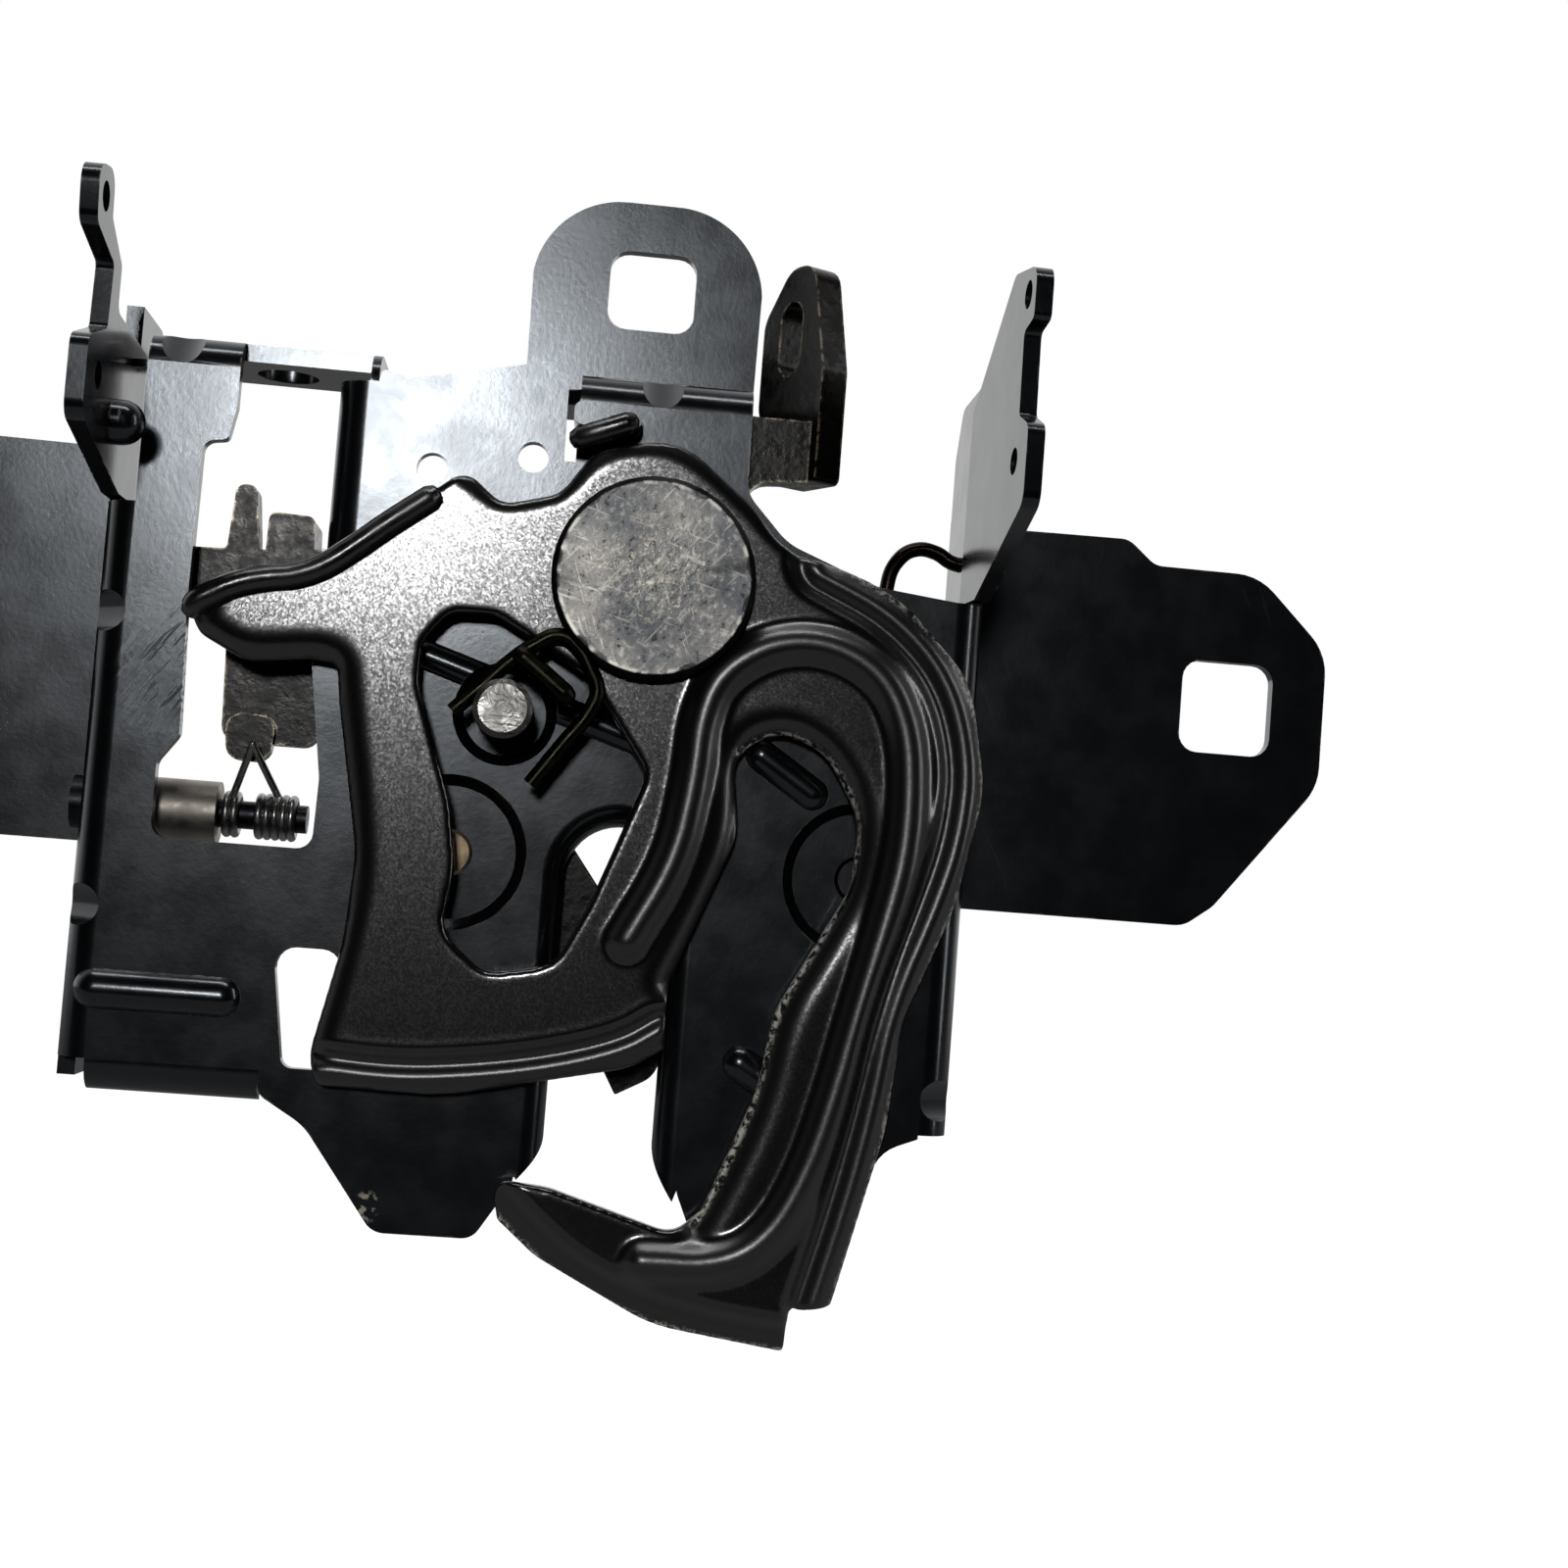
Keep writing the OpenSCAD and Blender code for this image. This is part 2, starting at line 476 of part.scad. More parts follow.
module safety_hook() {
    color("#141416") difference() {
        union() {
            slab(hook_front, hook_back) difference() {
                polygon(hook_outline);
                polygon(hook_window);
                for (edge = [outer_edge, beak_edge, foot_edge])
                    polygon(band(shortened(eased(edge), end_lap), -1, turn_in));
            }
            translate([0, hook_front, 0]) rotate([90, 0, 0]) {
                swept(eased(outer_edge), lip_section);
                swept(eased(beak_edge), beak_section);
                swept(eased(foot_edge), foot_section);
                bead(main_bead, bead_w, bead_h);
                bead(nose_rim, nose_rim_w, nose_rim_h);
            }
        }
        disc(hook_pivot, hook_front - 3, hook_back + 1, hook_bore_d + 2 * run_fit);
    }
}

// Big rivet that the hook and the release lever turn on
head_back = hook_front - side_gap;
head_front = head_back - 3;
tail_front = lever_back + side_gap + 1.6;
module hook_rivet() {
    color("#6f6d6a") turned(hook_pivot) polygon(concat(
        [[0, head_front + 0.3], [3.4, head_front + 0.3], [4.6, head_front - 0.2],
         [rivet_head_d / 2 - 1.2, head_front]],
        [[rivet_head_d / 2, head_front + 0.8], [rivet_head_d / 2, head_back], [hook_bore_d / 2, head_back],
         [hook_bore_d / 2, face_y], [lever_bore_d / 2, face_y], [lever_bore_d / 2, tail_front],
         [8, tail_front], [8, tail_front + 1], [6.8, tail_front + 2], [0, tail_front + 2]]));
}

// Washer that carries the hook clear of the face
module hook_washer() {
    color("#4a4a4c") turned(hook_pivot)
        polygon([[hook_bore_d / 2 + loose_fit, face_y], [12, face_y], [12, hook_back + side_gap],
                 [hook_bore_d / 2 + loose_fit, hook_back + side_gap]]);
}

// Wire spring that straddles the stop pin and holds the hook across the throat
clip_y = hook_front - clip_wire / 2 - 0.15;
clip_bend = rivet_head_d / 2 + clip_wire / 2 + 0.4;
function round_head(out, angle) = hook_pivot + (clip_bend + out) * [cos(angle), sin(angle)];
module hook_spring() {
    path = [[-12.2, -11], [-5.2, -4.9], [-2.8, -1.9], round_head(0.9, 211), round_head(0, 223),
            round_head(1.8, 245), [5.8, -10], [-0.8, -20.6]];
    color("#23231c") wire([for (p = path) [p[0], clip_y, p[1]]], clip_wire);
}

// Round bar under the spring's loop, fixed to the hook
module spring_bar() {
    color("#1d1d1b") run([-2.6, clip_y + 0.4, -4.4], [4, clip_y + 0.4, -9.4], 1.5);
}

// Fixed pin that limits the hook's swing
stop_front = hook_front - 5.3;
stop_seat = face_y + stop_dish;
module stop_pin() {
    color("#8d8b88") turned(stop_at)
        polygon([[0, stop_front], [stop_d / 2 - 0.7, stop_front], [stop_d / 2, stop_front + 0.7],
                 [stop_d / 2, stop_seat], [stop_shank_d / 2, stop_seat],
                 [stop_shank_d / 2, stop_seat + sheet + 0.3], [0, stop_seat + sheet + 0.3]]);
}

// Rotary catch, drawn shut about its pivot and turned open
catch_outline = rounded([[37.4, 13, 3.6], [14, 15.5, 10], [-11, 12.5, 11], [-12.5, -12, 11], [12, -18, 12],
    [35.5, -15.5, 3], [37, -4, 2]], 8);
mouth_d = 11.4;
mouth_x = 22;
module catch_fork() {
    color("#2b2320") translate([catch_pivot[0], 0, catch_pivot[1]]) rotate([0, catch_turn, 0]) difference() {
        slab(lever_front, lever_back) difference() {
            polygon(catch_outline);
            translate([mouth_x, 0]) circle(d = mouth_d);
            translate([mouth_x, -mouth_d / 2]) square([20, mouth_d]);
            translate([25, -22]) rotate(28) square([7, 6.4]);
        }
        disc([0, 0], lever_front - 1, lever_back + 1, pivot_d + 2 * run_fit);
    }
}

// Stepped pivot rivets of the catch and the pawl
module pivot_rivet(at) {
    end = face_y + dish_depth - 0.5;
    turned(at) polygon([[0, end], [2.6, end], [3, end + 0.5],
        [3, lever_front - side_gap], [pivot_d / 2, lever_front - side_gap], [pivot_d / 2, bridge_front],
        [3, bridge_front], [3, bridge_back], [5, bridge_back], [5, bridge_back + 1], [4, bridge_back + 2],
        [0, bridge_back + 2]]);
}
module catch_rivet() { color("#8c7c58") pivot_rivet(catch_pivot); }
module pawl_rivet() { color("#55534f") pivot_rivet(pawl_pivot); }

// Sleeves that space the springs on the pivots
bush_r = 7.2;
module pivot_bush(at) {
    bore = pivot_d / 2 + loose_fit;
    turned(at) polygon([[bore, spring_y], [bush_r, spring_y], [bush_r, bridge_front], [bore, bridge_front]]);
}
module catch_bush() { color("#c9c4b4") pivot_bush(catch_pivot); }
module pawl_bush() { color("#c9c4b4") pivot_bush(pawl_pivot); }

// Coil springs of the catch and the pawl
coil_r = bush_r + loose_fit;
module pivot_coil(at, count, d) {
    translate([at[0], spring_y + d / 2 + 0.3, at[1]]) rotate([-90, 0, 0]) turns(count, coil_r + d / 2, d);
}
module catch_spring() {
    r = coil_r + catch_wire / 2;
    y = spring_y + catch_wire / 2 + 0.3;
    last = y + 1.88 * catch_wire;
    color("#35353a") {
        pivot_coil(catch_pivot, 3, catch_wire);
        run([catch_x, last, catch_z + r], [catch_x - 16, last, catch_z + r], 0.44 * catch_wire);
        run([catch_x, y, catch_z - r], [catch_x - 12, y, catch_z - r], 0.44 * catch_wire);
    }
}
module pawl_spring() {
    r = coil_r + pawl_wire / 2;
    y = spring_y + pawl_wire / 2 + 0.3;
    x = pawl_x - r;
    color("#2a2830") {
        pivot_coil(pawl_pivot, 3, pawl_wire);
        wire([[pawl_x + r, y, pawl_z], [pawl_x + r, y, pawl_z + 10], [pawl_x + 0.5, pawl_leg_y, 11],
              [half_w - 11.1, pawl_leg_y, 15.4], [half_w - 7.5, pawl_leg_y, 16.6],
              [half_w - 3.9, pawl_leg_y, 15], [half_w + 1.5, pawl_leg_y, 15]], 0.9 * pawl_wire);
        run([x, y, pawl_z], [x, y, pawl_z - 12], 0.44 * pawl_wire);
    }
}

// Pawl that holds the shut catch: its nose and tail keep their place, its hub follows the pivot
pawl_outline = rounded([[22.1, -51.1, 1], [pawl_x - 13.4, -40.5, 6], [pawl_x - 9.6, -26.5, 5],
    [28.6, -12, 3], [31.4, -6.9, 3], [35.2, -11.5, 3.4], [pawl_x, -18.5, 5], [pawl_x + 9, -20.5, 7],
    [pawl_x + 9, -36.5, 7], [pawl_x - 6, -44.5, 8], [26.1, -55.3, 2]], 6);
module pawl() {
    color("#2b2320") difference() {
        slab(lever_front, lever_back) polygon(pawl_outline);
        disc(pawl_pivot, lever_front - 1, lever_back + 1, pivot_d + 2 * run_fit);
    }
}

// Release lever behind the face: cable prongs on the left, slotted ear on the right
lever_outline = rounded([[11, 17, 4], [15, 31, 2], [33, 31, 1], [33, 23, 1], [24.4, 22.4, 3], [24.6, 12, 3],
    [40.6, 10, 5], [40.8, -10, 3.4], [34, -10.4, 3.4], [33, 0, 3], [20, -2, 4], [4, -2.4, 6], [-10, -2, 4],
    [-28, -4, 3], [-28, -17, 2], [-40, -17, 2], [-40.4, -4.6, 2], [-47, -0.4, 2], [-47, 7.4, 1.5],
    [-41.4, 7.6, 0.6], [-40.8, 16, 1.2], [-38.2, 16, 1.2], [-37.4, 8, 0.6], [-37, 7.8, 0.5], [-28, 8.6, 2],
    [-12, 9, 5], [2, 15, 6]], 5);
ear_lean = 30;
ear_root = 33.4;
eye_at = [7, 43];
foot_front = lever_front - 1.2;
module in_ear() { translate([ear_root, lever_front, 0]) rotate([0, 0, ear_lean]) children(); }
module release_lever() {
    color("#2e2622") difference() {
        union() {
            slab(lever_front, lever_back) polygon(lever_outline);
            // block beside the finger
            slab(lever_front, lever_back + 5)
                polygon(rounded([[-36.6, 4, 0], [-36.4, 12.8, 1], [-30.6, 12.6, 1], [-30.2, 4, 0]]));
            // curled foot that the spring bears on
            slab(foot_front, lever_front + 1)
                polygon(rounded([[-39.6, -13.4, 2], [-33, -13.4, 2], [-33.6, -19.4, 2], [-39, -19.4, 2]]));
            // ear, leaning back and inwards
            in_ear() web(-1, lever_t - 1)
                polygon(rounded([[-1, 23, 1], [-1, 38, 3], [2.5, 52.6, 4], [8, 52.6, 4], [13.4, 46, 4],
                                 [13.4, 34, 4], [8, 23, 2]]));
        }
        disc(hook_pivot, lever_front - 2, lever_back + 1, lever_bore_d + 2 * run_fit);
        in_ear() web(-6, lever_t + 4) {
            for (z = [-1, 1]) translate(eye_at + [0, z * (eye_l - eye_w) / 2]) circle(d = eye_w);
            translate(eye_at - [eye_w, eye_l - eye_w] / 2) square([eye_w, eye_l - eye_w]);
        }
    }
}

// Spacer and washer either side of the lever on the big rivet
module rivet_ring(y0, y1) {
    bore = lever_bore_d / 2 + loose_fit;
    turned(hook_pivot) polygon([[bore, y0], [9, y0], [9, y1], [bore, y1]]);
}
module lever_spacer() { color("#4a4a4c") rivet_ring(face_back, lever_front - side_gap); }
module lever_washer() { color("#4a4a4c") rivet_ring(lever_back + side_gap, tail_front); }

// Return spring of the lever, its pin in the left wall and the sleeve on it
return_r = spring_pin_d / 2 + loose_fit + return_wire / 2;
module return_spring() {
    y = spring_pin_at[0];
    z = spring_pin_at[1];
    top = z + return_r;
    color("#9c9c98") {
        translate([-34.6, y, z]) rotate([0, 90, 0]) turns(5, return_r, return_wire);
        wire([[-32.4, y - 0.4, top], [-35.4, foot_front - 2.8, -17.4], [-38.2, y - 0.4, top]],
             0.86 * return_wire);
        translate([-38.7, y, z]) rotate([0, 90, 0]) turns(2, return_r, return_wire);
    }
}
module spring_pin() {
    color("#77767a") translate([-half_w, spring_pin_at[0], spring_pin_at[1]]) rotate([0, 90, 0]) {
        cylinder(h = half_w - 28.6, d = spring_pin_d);
        translate([0, 0, -1.6]) cylinder(h = 1.6, d = 7);
    }
}
module spring_bush() {
    color("#b9b9b4") translate([0, spring_pin_at[0], spring_pin_at[1]]) rotate([0, 90, 0])
        translate([0, 0, -wall_in]) difference() {
            cylinder(h = wall_in - 39.8, d = 8);
            translate([0, 0, -1]) cylinder(h = wall_in - 30, d = spring_pin_d + 2 * loose_fit);
        }
}

lock_plate();
backing_plate();
safety_hook();
hook_rivet();
hook_washer();
hook_spring();
spring_bar();
stop_pin();
catch_fork();
catch_rivet();
catch_bush();
catch_spring();
pawl();
pawl_rivet();
pawl_bush();
pawl_spring();
release_lever();
lever_spacer();
lever_washer();
return_spring();
spring_pin();
spring_bush();
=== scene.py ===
"""Bonnet latch in its studio: pressed and coated sheet, burnished levers, wound springs."""

import math

import bpy
import numpy
from mathutils import Matrix, Vector


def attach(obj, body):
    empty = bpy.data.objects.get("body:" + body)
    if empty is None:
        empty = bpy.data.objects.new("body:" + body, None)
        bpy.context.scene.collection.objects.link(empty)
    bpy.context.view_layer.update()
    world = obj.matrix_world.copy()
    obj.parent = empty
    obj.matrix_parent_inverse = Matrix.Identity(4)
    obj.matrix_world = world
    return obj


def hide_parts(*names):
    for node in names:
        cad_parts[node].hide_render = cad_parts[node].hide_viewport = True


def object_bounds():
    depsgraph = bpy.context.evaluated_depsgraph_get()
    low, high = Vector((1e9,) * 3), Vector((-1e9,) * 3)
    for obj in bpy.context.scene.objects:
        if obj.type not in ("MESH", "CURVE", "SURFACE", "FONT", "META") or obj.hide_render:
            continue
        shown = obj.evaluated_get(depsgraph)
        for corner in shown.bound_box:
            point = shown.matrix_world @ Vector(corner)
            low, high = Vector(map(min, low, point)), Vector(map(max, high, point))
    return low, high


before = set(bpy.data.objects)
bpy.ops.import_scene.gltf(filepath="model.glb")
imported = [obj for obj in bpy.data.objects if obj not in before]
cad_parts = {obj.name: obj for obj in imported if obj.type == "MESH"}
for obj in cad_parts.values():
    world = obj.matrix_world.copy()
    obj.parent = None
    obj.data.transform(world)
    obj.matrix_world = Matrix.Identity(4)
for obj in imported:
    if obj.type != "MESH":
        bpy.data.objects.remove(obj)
cad_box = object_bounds()

# Lengths below are millimetres, as in the part's drawing
MM = 0.001

# Camera of the photograph
CAMERA_AT = (5.63, -326.0, -32.74)
CAMERA_YAW = 5.0
CAMERA_PITCH = 3.0
CAMERA_ROLL = 4.4
CAMERA_LENS = 54.0
CAMERA_SENSOR = 36.0
CAMERA_CLIP = 10.0

# Studio
FLOOR_DROP = 32.0
FLOOR_REACH = 1600.0
FLOOR_FRONT = -200.0
FLOOR_MIDDLE = FLOOR_FRONT + FLOOR_REACH
PAPER_TONES = ((0.29, 0.29, 0.29), (0.31, 0.31, 0.31))
PAPER_ROUGHNESS = 0.9
PAPER_GLOW = 0.9
ROOM_LEAN = (-0.15, 1.0, 0.1)
ROOM_RAMP = (("From Min", -0.15), ("From Max", 0.6), ("To Min", 0.004), ("To Max", 1.0))
LAMP_AIM = (0, -26, -15)
LAMPS = (("key_left", (-317, -2950, 608), (370, 370), 21.0),
         ("top_strip", (-60, -260, 800), (700, 60), 2.0),
         ("right_strip", (700, -260, 200), (40, 600), 0.8))

# Soft edges of the pieces
SHEET_EDGE = 0.35
LEVER_EDGE = 0.45
EDGE_SEGMENTS = 3

# Angles in degrees: below the first faces are merged, above the second edges are rounded, and below
# the others a sheet, a wire and the hook are shaded smooth
FLAT_ANGLE = 0.5
SHARP_ANGLE = 32.0
SMOOTH_ANGLE = 35.0
WIRE_ANGLE = 50.0
HOOK_ANGLE = 80.0

# Distances within which points are merged, and within which they count as level or on a fold
MERGE = 0.002
LEVEL = 0.05

# Planes of the case and the hook, counted along Y, and the crown of the rivet's head that is made flat
FACE_Y = -26.0
HOOK_FRONT = -31.1
HOOK_BACK = -28.6
HEAD_FRONT = -34.3
HEAD_CROWN = 0.4

# Lips of the throat: their middle, the centres and radius of their folds, how far their ends are
# drawn out, and the quarter turn of a fold with its slack in degrees
THROAT_X = 11.8
LIP_CENTRE = 9.9
LIP_R = 3.0
LIP_LOW = -64.0
LEFT_LIP_DRAW = 5.5
RIGHT_LIP_DRAW = 7.0
LIP_TURN = 90.0
LIP_TURN_SLACK = 1.0

# Arcs of the top tab's two upper corners: their radius, their centres across and up, and how far inside
# them the old outline may lie; the height above which edges are cut, the hole with the room round it
# that is left alone, the plane that the tab lies behind, and the cuts in each edge
TAB_R = 12.5
TAB_CENTRES = [(6.2, 50.8), (13.2, 50.8)]
TAB_SLACK = 0.6
TAB_LOW = 50.3
TAB_HOLE = (10.4, 51.0)
TAB_HOLE_ROOM = 10.0
TAB_FRONT = -3.0
TAB_CUTS = 6

# Paths on the hook as places across and up, and the rounds of cutting that ease their corners
MAIN_BEAD = [(13.3, -38.3), (18.6, -28), (20.2, -17), (20.4, -10), (22.4, -4), (28.7, 0.4), (36, 1),
             (43, -2.4), (46.6, -9), (47.6, -17), (47.4, -26), (45.2, -36), (42.9, -46), (41, -55),
             (38.4, -65), (34.4, -73.6), (28.4, -77.8), (18.3, -77.9)]
OUTER_EDGE = [(35, 11.4), (45, 7), (53, -1), (56.6, -12), (56.2, -22), (54, -31), (49, -45), (47.4, -58),
              (45, -70), (41.6, -83)]
FOOT_EDGE = [(-24, -59), (-14, -59.6), (-4, -58.6), (6, -56.8), (15, -54), (19.4, -51)]
BEAK_EDGE = [(38, -88.6), (28, -87.6), (18, -85.4), (9, -81.6), (3, -77), (-1.6, -72.6)]
NOSE_EDGE = [(-43, -2.3), (-42.7, -4.1), (-40, -6), (-37.2, -7), (-35, -7.2), (-29, -6.4), (-26.7, -6.5),
             (-25.4, -7.4), (-24.9, -10.7), (-21.3, -30), (-21.7, -39.5), (-24.7, -54.9)]
CROWN_EDGE = [(-11.5, 18.3), (-7.9, 16), (-5.9, 15.3), (-0.3, 16.9), (1.3, 18.2), (4.9, 22.8), (10.9, 24.5),
              (16.6, 23.8), (24.6, 17.8), (29.3, 12.9), (35.5, 11.1)]
MOUTH_EDGE = [(24.5, -73), (27.4, -67), (31, -57), (32.6, -46), (37, -37.6), (41, -29), (41.4, -20),
              (36.6, -12.8), (30.4, -10.6), (25.4, -13.6), (26.2, -24), (22.8, -34), (19, -43.4)]
CHIPPED_MOUTH = MOUTH_EDGE[:10]
PATH_ROUNDS = 3

# Pressed profiles: distance from the path, and how far the sheet stands forward there; then the shifts
# that a profile is averaged over
BEAD_PRESS = [(0, 1.75), (0.7, 1.66), (1.4, 1.36), (1.9, 0.95), (2.25, 0.5), (2.5, 0)]
OUTER_PRESS = [(0, -2.6), (0.5, -1.6), (1.2, -0.85), (2.0, -0.55), (2.8, -0.85), (3.6, -1.6), (4.2, -1.9),
               (4.8, -0.4), (5.2, 0)]
FOOT_PRESS = [(0, -2.2), (0.7, -1.2), (2.1, -0.6), (3.0, -1.1), (3.8, -1.8), (4.9, -0.2), (5.3, 0.1),
              (5.6, 0.1), (6.0, 0)]
BEAK_PRESS = [(0, -2.4), (0.6, -1.9), (2.8, -1.7), (4.0, -0.4), (4.5, 0.08), (4.8, 0.1), (5.4, 0)]
NOSE_PRESS = [(0, -1.9), (0.5, -1.2), (1.2, -0.55), (2.2, -0.15), (3.2, 0)]
CROWN_PRESS = [(0, -0.55), (0.5, -0.25), (1.1, 0)]
MOUTH_PRESS = [(0, -2.4), (0.3, -1.6), (0.8, -1.0), (1.5, -0.5), (2.4, -0.14), (3.4, 0)]
PRESS_BLUR = (-0.6, -0.3, 0.0, 0.3, 0.6)

# The hook's sheet: what its turned edges keep from the face, their thickness, how far the outer edge is
# spread and from how far in, the size of its mesh, its softening, the press at which it is fully rolled,
# and the normal along Y below which a face looks forward
HOOK_CLEAR = 1.5
TURNED_EDGE = 1.3
OUTER_SPREAD = 0.7
SPREAD_FROM = 5.0
HOOK_VOXEL = 0.38
HOOK_SOFTENING = 5
ROLLED_FROM = 0.5
LOOKS_FORWARD = -0.3

# Chipped edges of the hook: the width of the chips, how dense they are, and how many widths they reach
CHIPPED = [(CHIPPED_MOUTH, 0.42, 1.0), (BEAK_EDGE, 0.5, 0.9), (OUTER_EDGE, 0.3, 0.45)]
CHIP_END = 1.5

# Glossy wire that lies along the hook's nose
NOSE_WIRE = [(-44, -31, -2.4), (-42.9, -31.8, -0.7), (-41.1, -32, 0.5), (-37.9, -32, 2.1),
             (-34.2, -32, 3.1), (-31.4, -32, 3.6), (-28.1, -32, 5), (-24.9, -32, 7.3), (-20.2, -32, 11.2),
             (-14.4, -32, 15.7)]
NOSE_WIRE_D = 3.1

# Rounded finger that the case holds over the hook's crown
FINGER = [(1.2, -29.6, 24), (3.6, -30.4, 24.8), (6.2, -30.6, 25.8), (9.6, -30.6, 27.2)]
FINGER_D = 3.1

# Springs of the pawl and the catch: where each coil starts on its pivot, its radius, start, turns and
# pitch, its wire and the ends that lead in and out
COIL_STEPS = 14
PAWL_COIL_AT = (42.5, -16.1, -28.5)
PAWL_COIL_R = 8.3
PAWL_COIL_START = 0.0
PAWL_COIL_TURNS = -2.75
PAWL_COIL_PITCH = 2.1
PAWL_WIRE_D = 2.0
PAWL_LEAD = [(58, -14, 15), (53.4, -14, 15.2), (51, -14, 16.4), (48.4, -14.2, 16.6), (46, -14.6, 15),
             (44.6, -15, 11), (46, -15.4, 0), (50, -16, -16)]
PAWL_TAIL = [(34, -10.5, -36.8), (28, -10.5, -36.8)]
CATCH_COIL_AT = (-10.0, -16.2, -29.0)
CATCH_COIL_R = 8.2
CATCH_COIL_START = 270.0
CATCH_COIL_TURNS = 2.5
CATCH_COIL_PITCH = 1.9
CATCH_WIRE_D = 1.8
CATCH_LEAD = [(-22, -16.2, -37.2), (-16, -16.2, -37.2)]
CATCH_TAIL = [(-16, -11.5, -20.8), (-26, -11.5, -20.8)]

# Clip spring that straddles the stop pin: its plane, its path across and up and its wire; then the bar
# that lies in front of it
CLIP_Y = -32.3
CLIP = [(-10.6, -11.6), (-7, -8), (-3.9, -4.8), (-1.2, -2.6), (2, -1.1), (4.4, -2.5), (6, -4.9), (7.1, -7.6),
        (6.5, -9.9), (3.2, -14.8), (-0.3, -19.9)]
CLIP_D = 2.0
BAR = [(-3.4, -34, -3.5), (0.4, -34, -6.4), (4.2, -34, -9.3)]
BAR_D = 2.7

# Rounded tip of a wire: each ring's distance from the end in diameters, and its share of the radius
TIP = [(0.0, 0.3), (0.1, 0.7), (0.45, 1.0)]

# Marked places on the part: the rivet's face, a chip and a scuff on the case, glitter on the left tab
RIVET_FACE = (13.0, HEAD_FRONT, 7.0)
CHIP_AT = (-16.5, -26.0, -74.0)
SCUFF_AT = (-44.0, -26.0, -9.0)
GLITTER_AT = (-64.0, -2.0, -16.0)


# Modelling helpers
def take(piece):
    """Select one piece alone and make it the active one."""
    bpy.ops.object.select_all(action="DESELECT")
    piece.select_set(True)
    bpy.context.view_layer.objects.active = piece


def finish_with(piece, kind, **settings):
    """Add one modifier with its settings and apply it."""
    take(piece)
    modifier = piece.modifiers.new(kind.title(), kind)
    for name, value in settings.items():
        setattr(modifier, name, value)
    bpy.ops.object.modifier_apply(modifier=modifier.name)


def smooth_faces(piece, angle=SMOOTH_ANGLE):
    """Smooth shading over edges that are flatter than the angle."""
    take(piece)
    bpy.ops.object.shade_smooth_by_angle(angle=math.radians(angle))


def from_node(node, name):
    """A copy of a node's mesh, with its triangles merged into whole faces."""
    piece = bpy.data.objects.new(name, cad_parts[node].data.copy())
    bpy.context.collection.objects.link(piece)
    take(piece)
    bpy.ops.mesh.customdata_custom_splitnormals_clear()
    bpy.ops.object.mode_set(mode="EDIT")
    bpy.ops.mesh.select_all(action="SELECT")
    bpy.ops.mesh.remove_doubles(threshold=MERGE * MM)
    bpy.ops.mesh.dissolve_limited(angle_limit=math.radians(FLAT_ANGLE))
    bpy.ops.object.mode_set(mode="OBJECT")
    piece.data.materials.clear()
    return piece


def settle(piece, node, body, finish):
    """Give a finished piece its material, hide the node that it stands for and attach it to the body that
    carries it.
    """
    piece.data.materials.clear()
    piece.data.materials.append(finish)
    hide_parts(node)
    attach(piece, body)


def ease_edges(piece, edge):
    """Round every sharp edge a little and keep the flats flat."""
    finish_with(piece, "BEVEL", width=edge * MM, segments=EDGE_SEGMENTS, limit_method="ANGLE",
                angle_limit=math.radians(SHARP_ANGLE), miter_outer="MITER_ARC", use_clamp_overlap=True)
    smooth_faces(piece)
    finish_with(piece, "WEIGHTED_NORMAL", mode="FACE_AREA", weight=100, keep_sharp=True)


def eased_copy(node, name, edge):
    """A copy of a node with eased edges."""
    piece = from_node(node, name)
    ease_edges(piece, edge)
    return piece


def taper_lips(piece):
    """Draw the lower ends of the throat's two lips out along the face, so that they fade into it."""
    places = places_of(piece)
    for side, reach_down in ((-1, LEFT_LIP_DRAW), (1, RIGHT_LIP_DRAW)):
        inward = side * (THROAT_X - places[:, 0]) + LIP_CENTRE
        back = places[:, 1] - FACE_Y - LIP_R
        angle = numpy.degrees(numpy.arctan2(back, inward))
        close = numpy.hypot(inward, back) < LIP_R + LEVEL
        folded = (angle > -LIP_TURN - LIP_TURN_SLACK) & (angle < LIP_TURN_SLACK)
        ends = close & folded & (abs(places[:, 2] - LIP_LOW) < LEVEL)
        places[ends, 2] += reach_down * angle[ends] / LIP_TURN
    move_to(piece, places)


def round_tab(piece):
    """Bring the top tab's upper corners onto true arcs."""
    take(piece)
    bpy.ops.object.mode_set(mode="EDIT")
    bpy.ops.mesh.select_mode(type="EDGE")
    bpy.ops.mesh.select_all(action="DESELECT")
    bpy.ops.object.mode_set(mode="OBJECT")
    places = places_of(piece)
    for edge in piece.data.edges:
        start, end = places[list(edge.vertices)]
        flat = abs(start[1] - end[1]) < LEVEL
        outer = min(numpy.hypot(*(spot[[0, 2]] - TAB_HOLE)) for spot in (start, end)) > TAB_HOLE_ROOM
        edge.select = bool(flat and outer and min(start[2], end[2]) > TAB_LOW)
    bpy.ops.object.mode_set(mode="EDIT")
    bpy.ops.mesh.subdivide(number_cuts=TAB_CUTS)
    bpy.ops.object.mode_set(mode="OBJECT")
    places = places_of(piece)
    for side, centre in zip((-1, 1), TAB_CENTRES):
        out = places[:, [0, 2]] - centre
        far = numpy.hypot(out[:, 0], out[:, 1])
        upper = (side * out[:, 0] > 0) & (out[:, 1] > 0) & (places[:, 1] > TAB_FRONT)
        corner = upper & (far > TAB_R - TAB_SLACK)
        places[numpy.ix_(corner, [0, 2])] = centre + out[corner] * TAB_R / far[corner, None]
    move_to(piece, places)


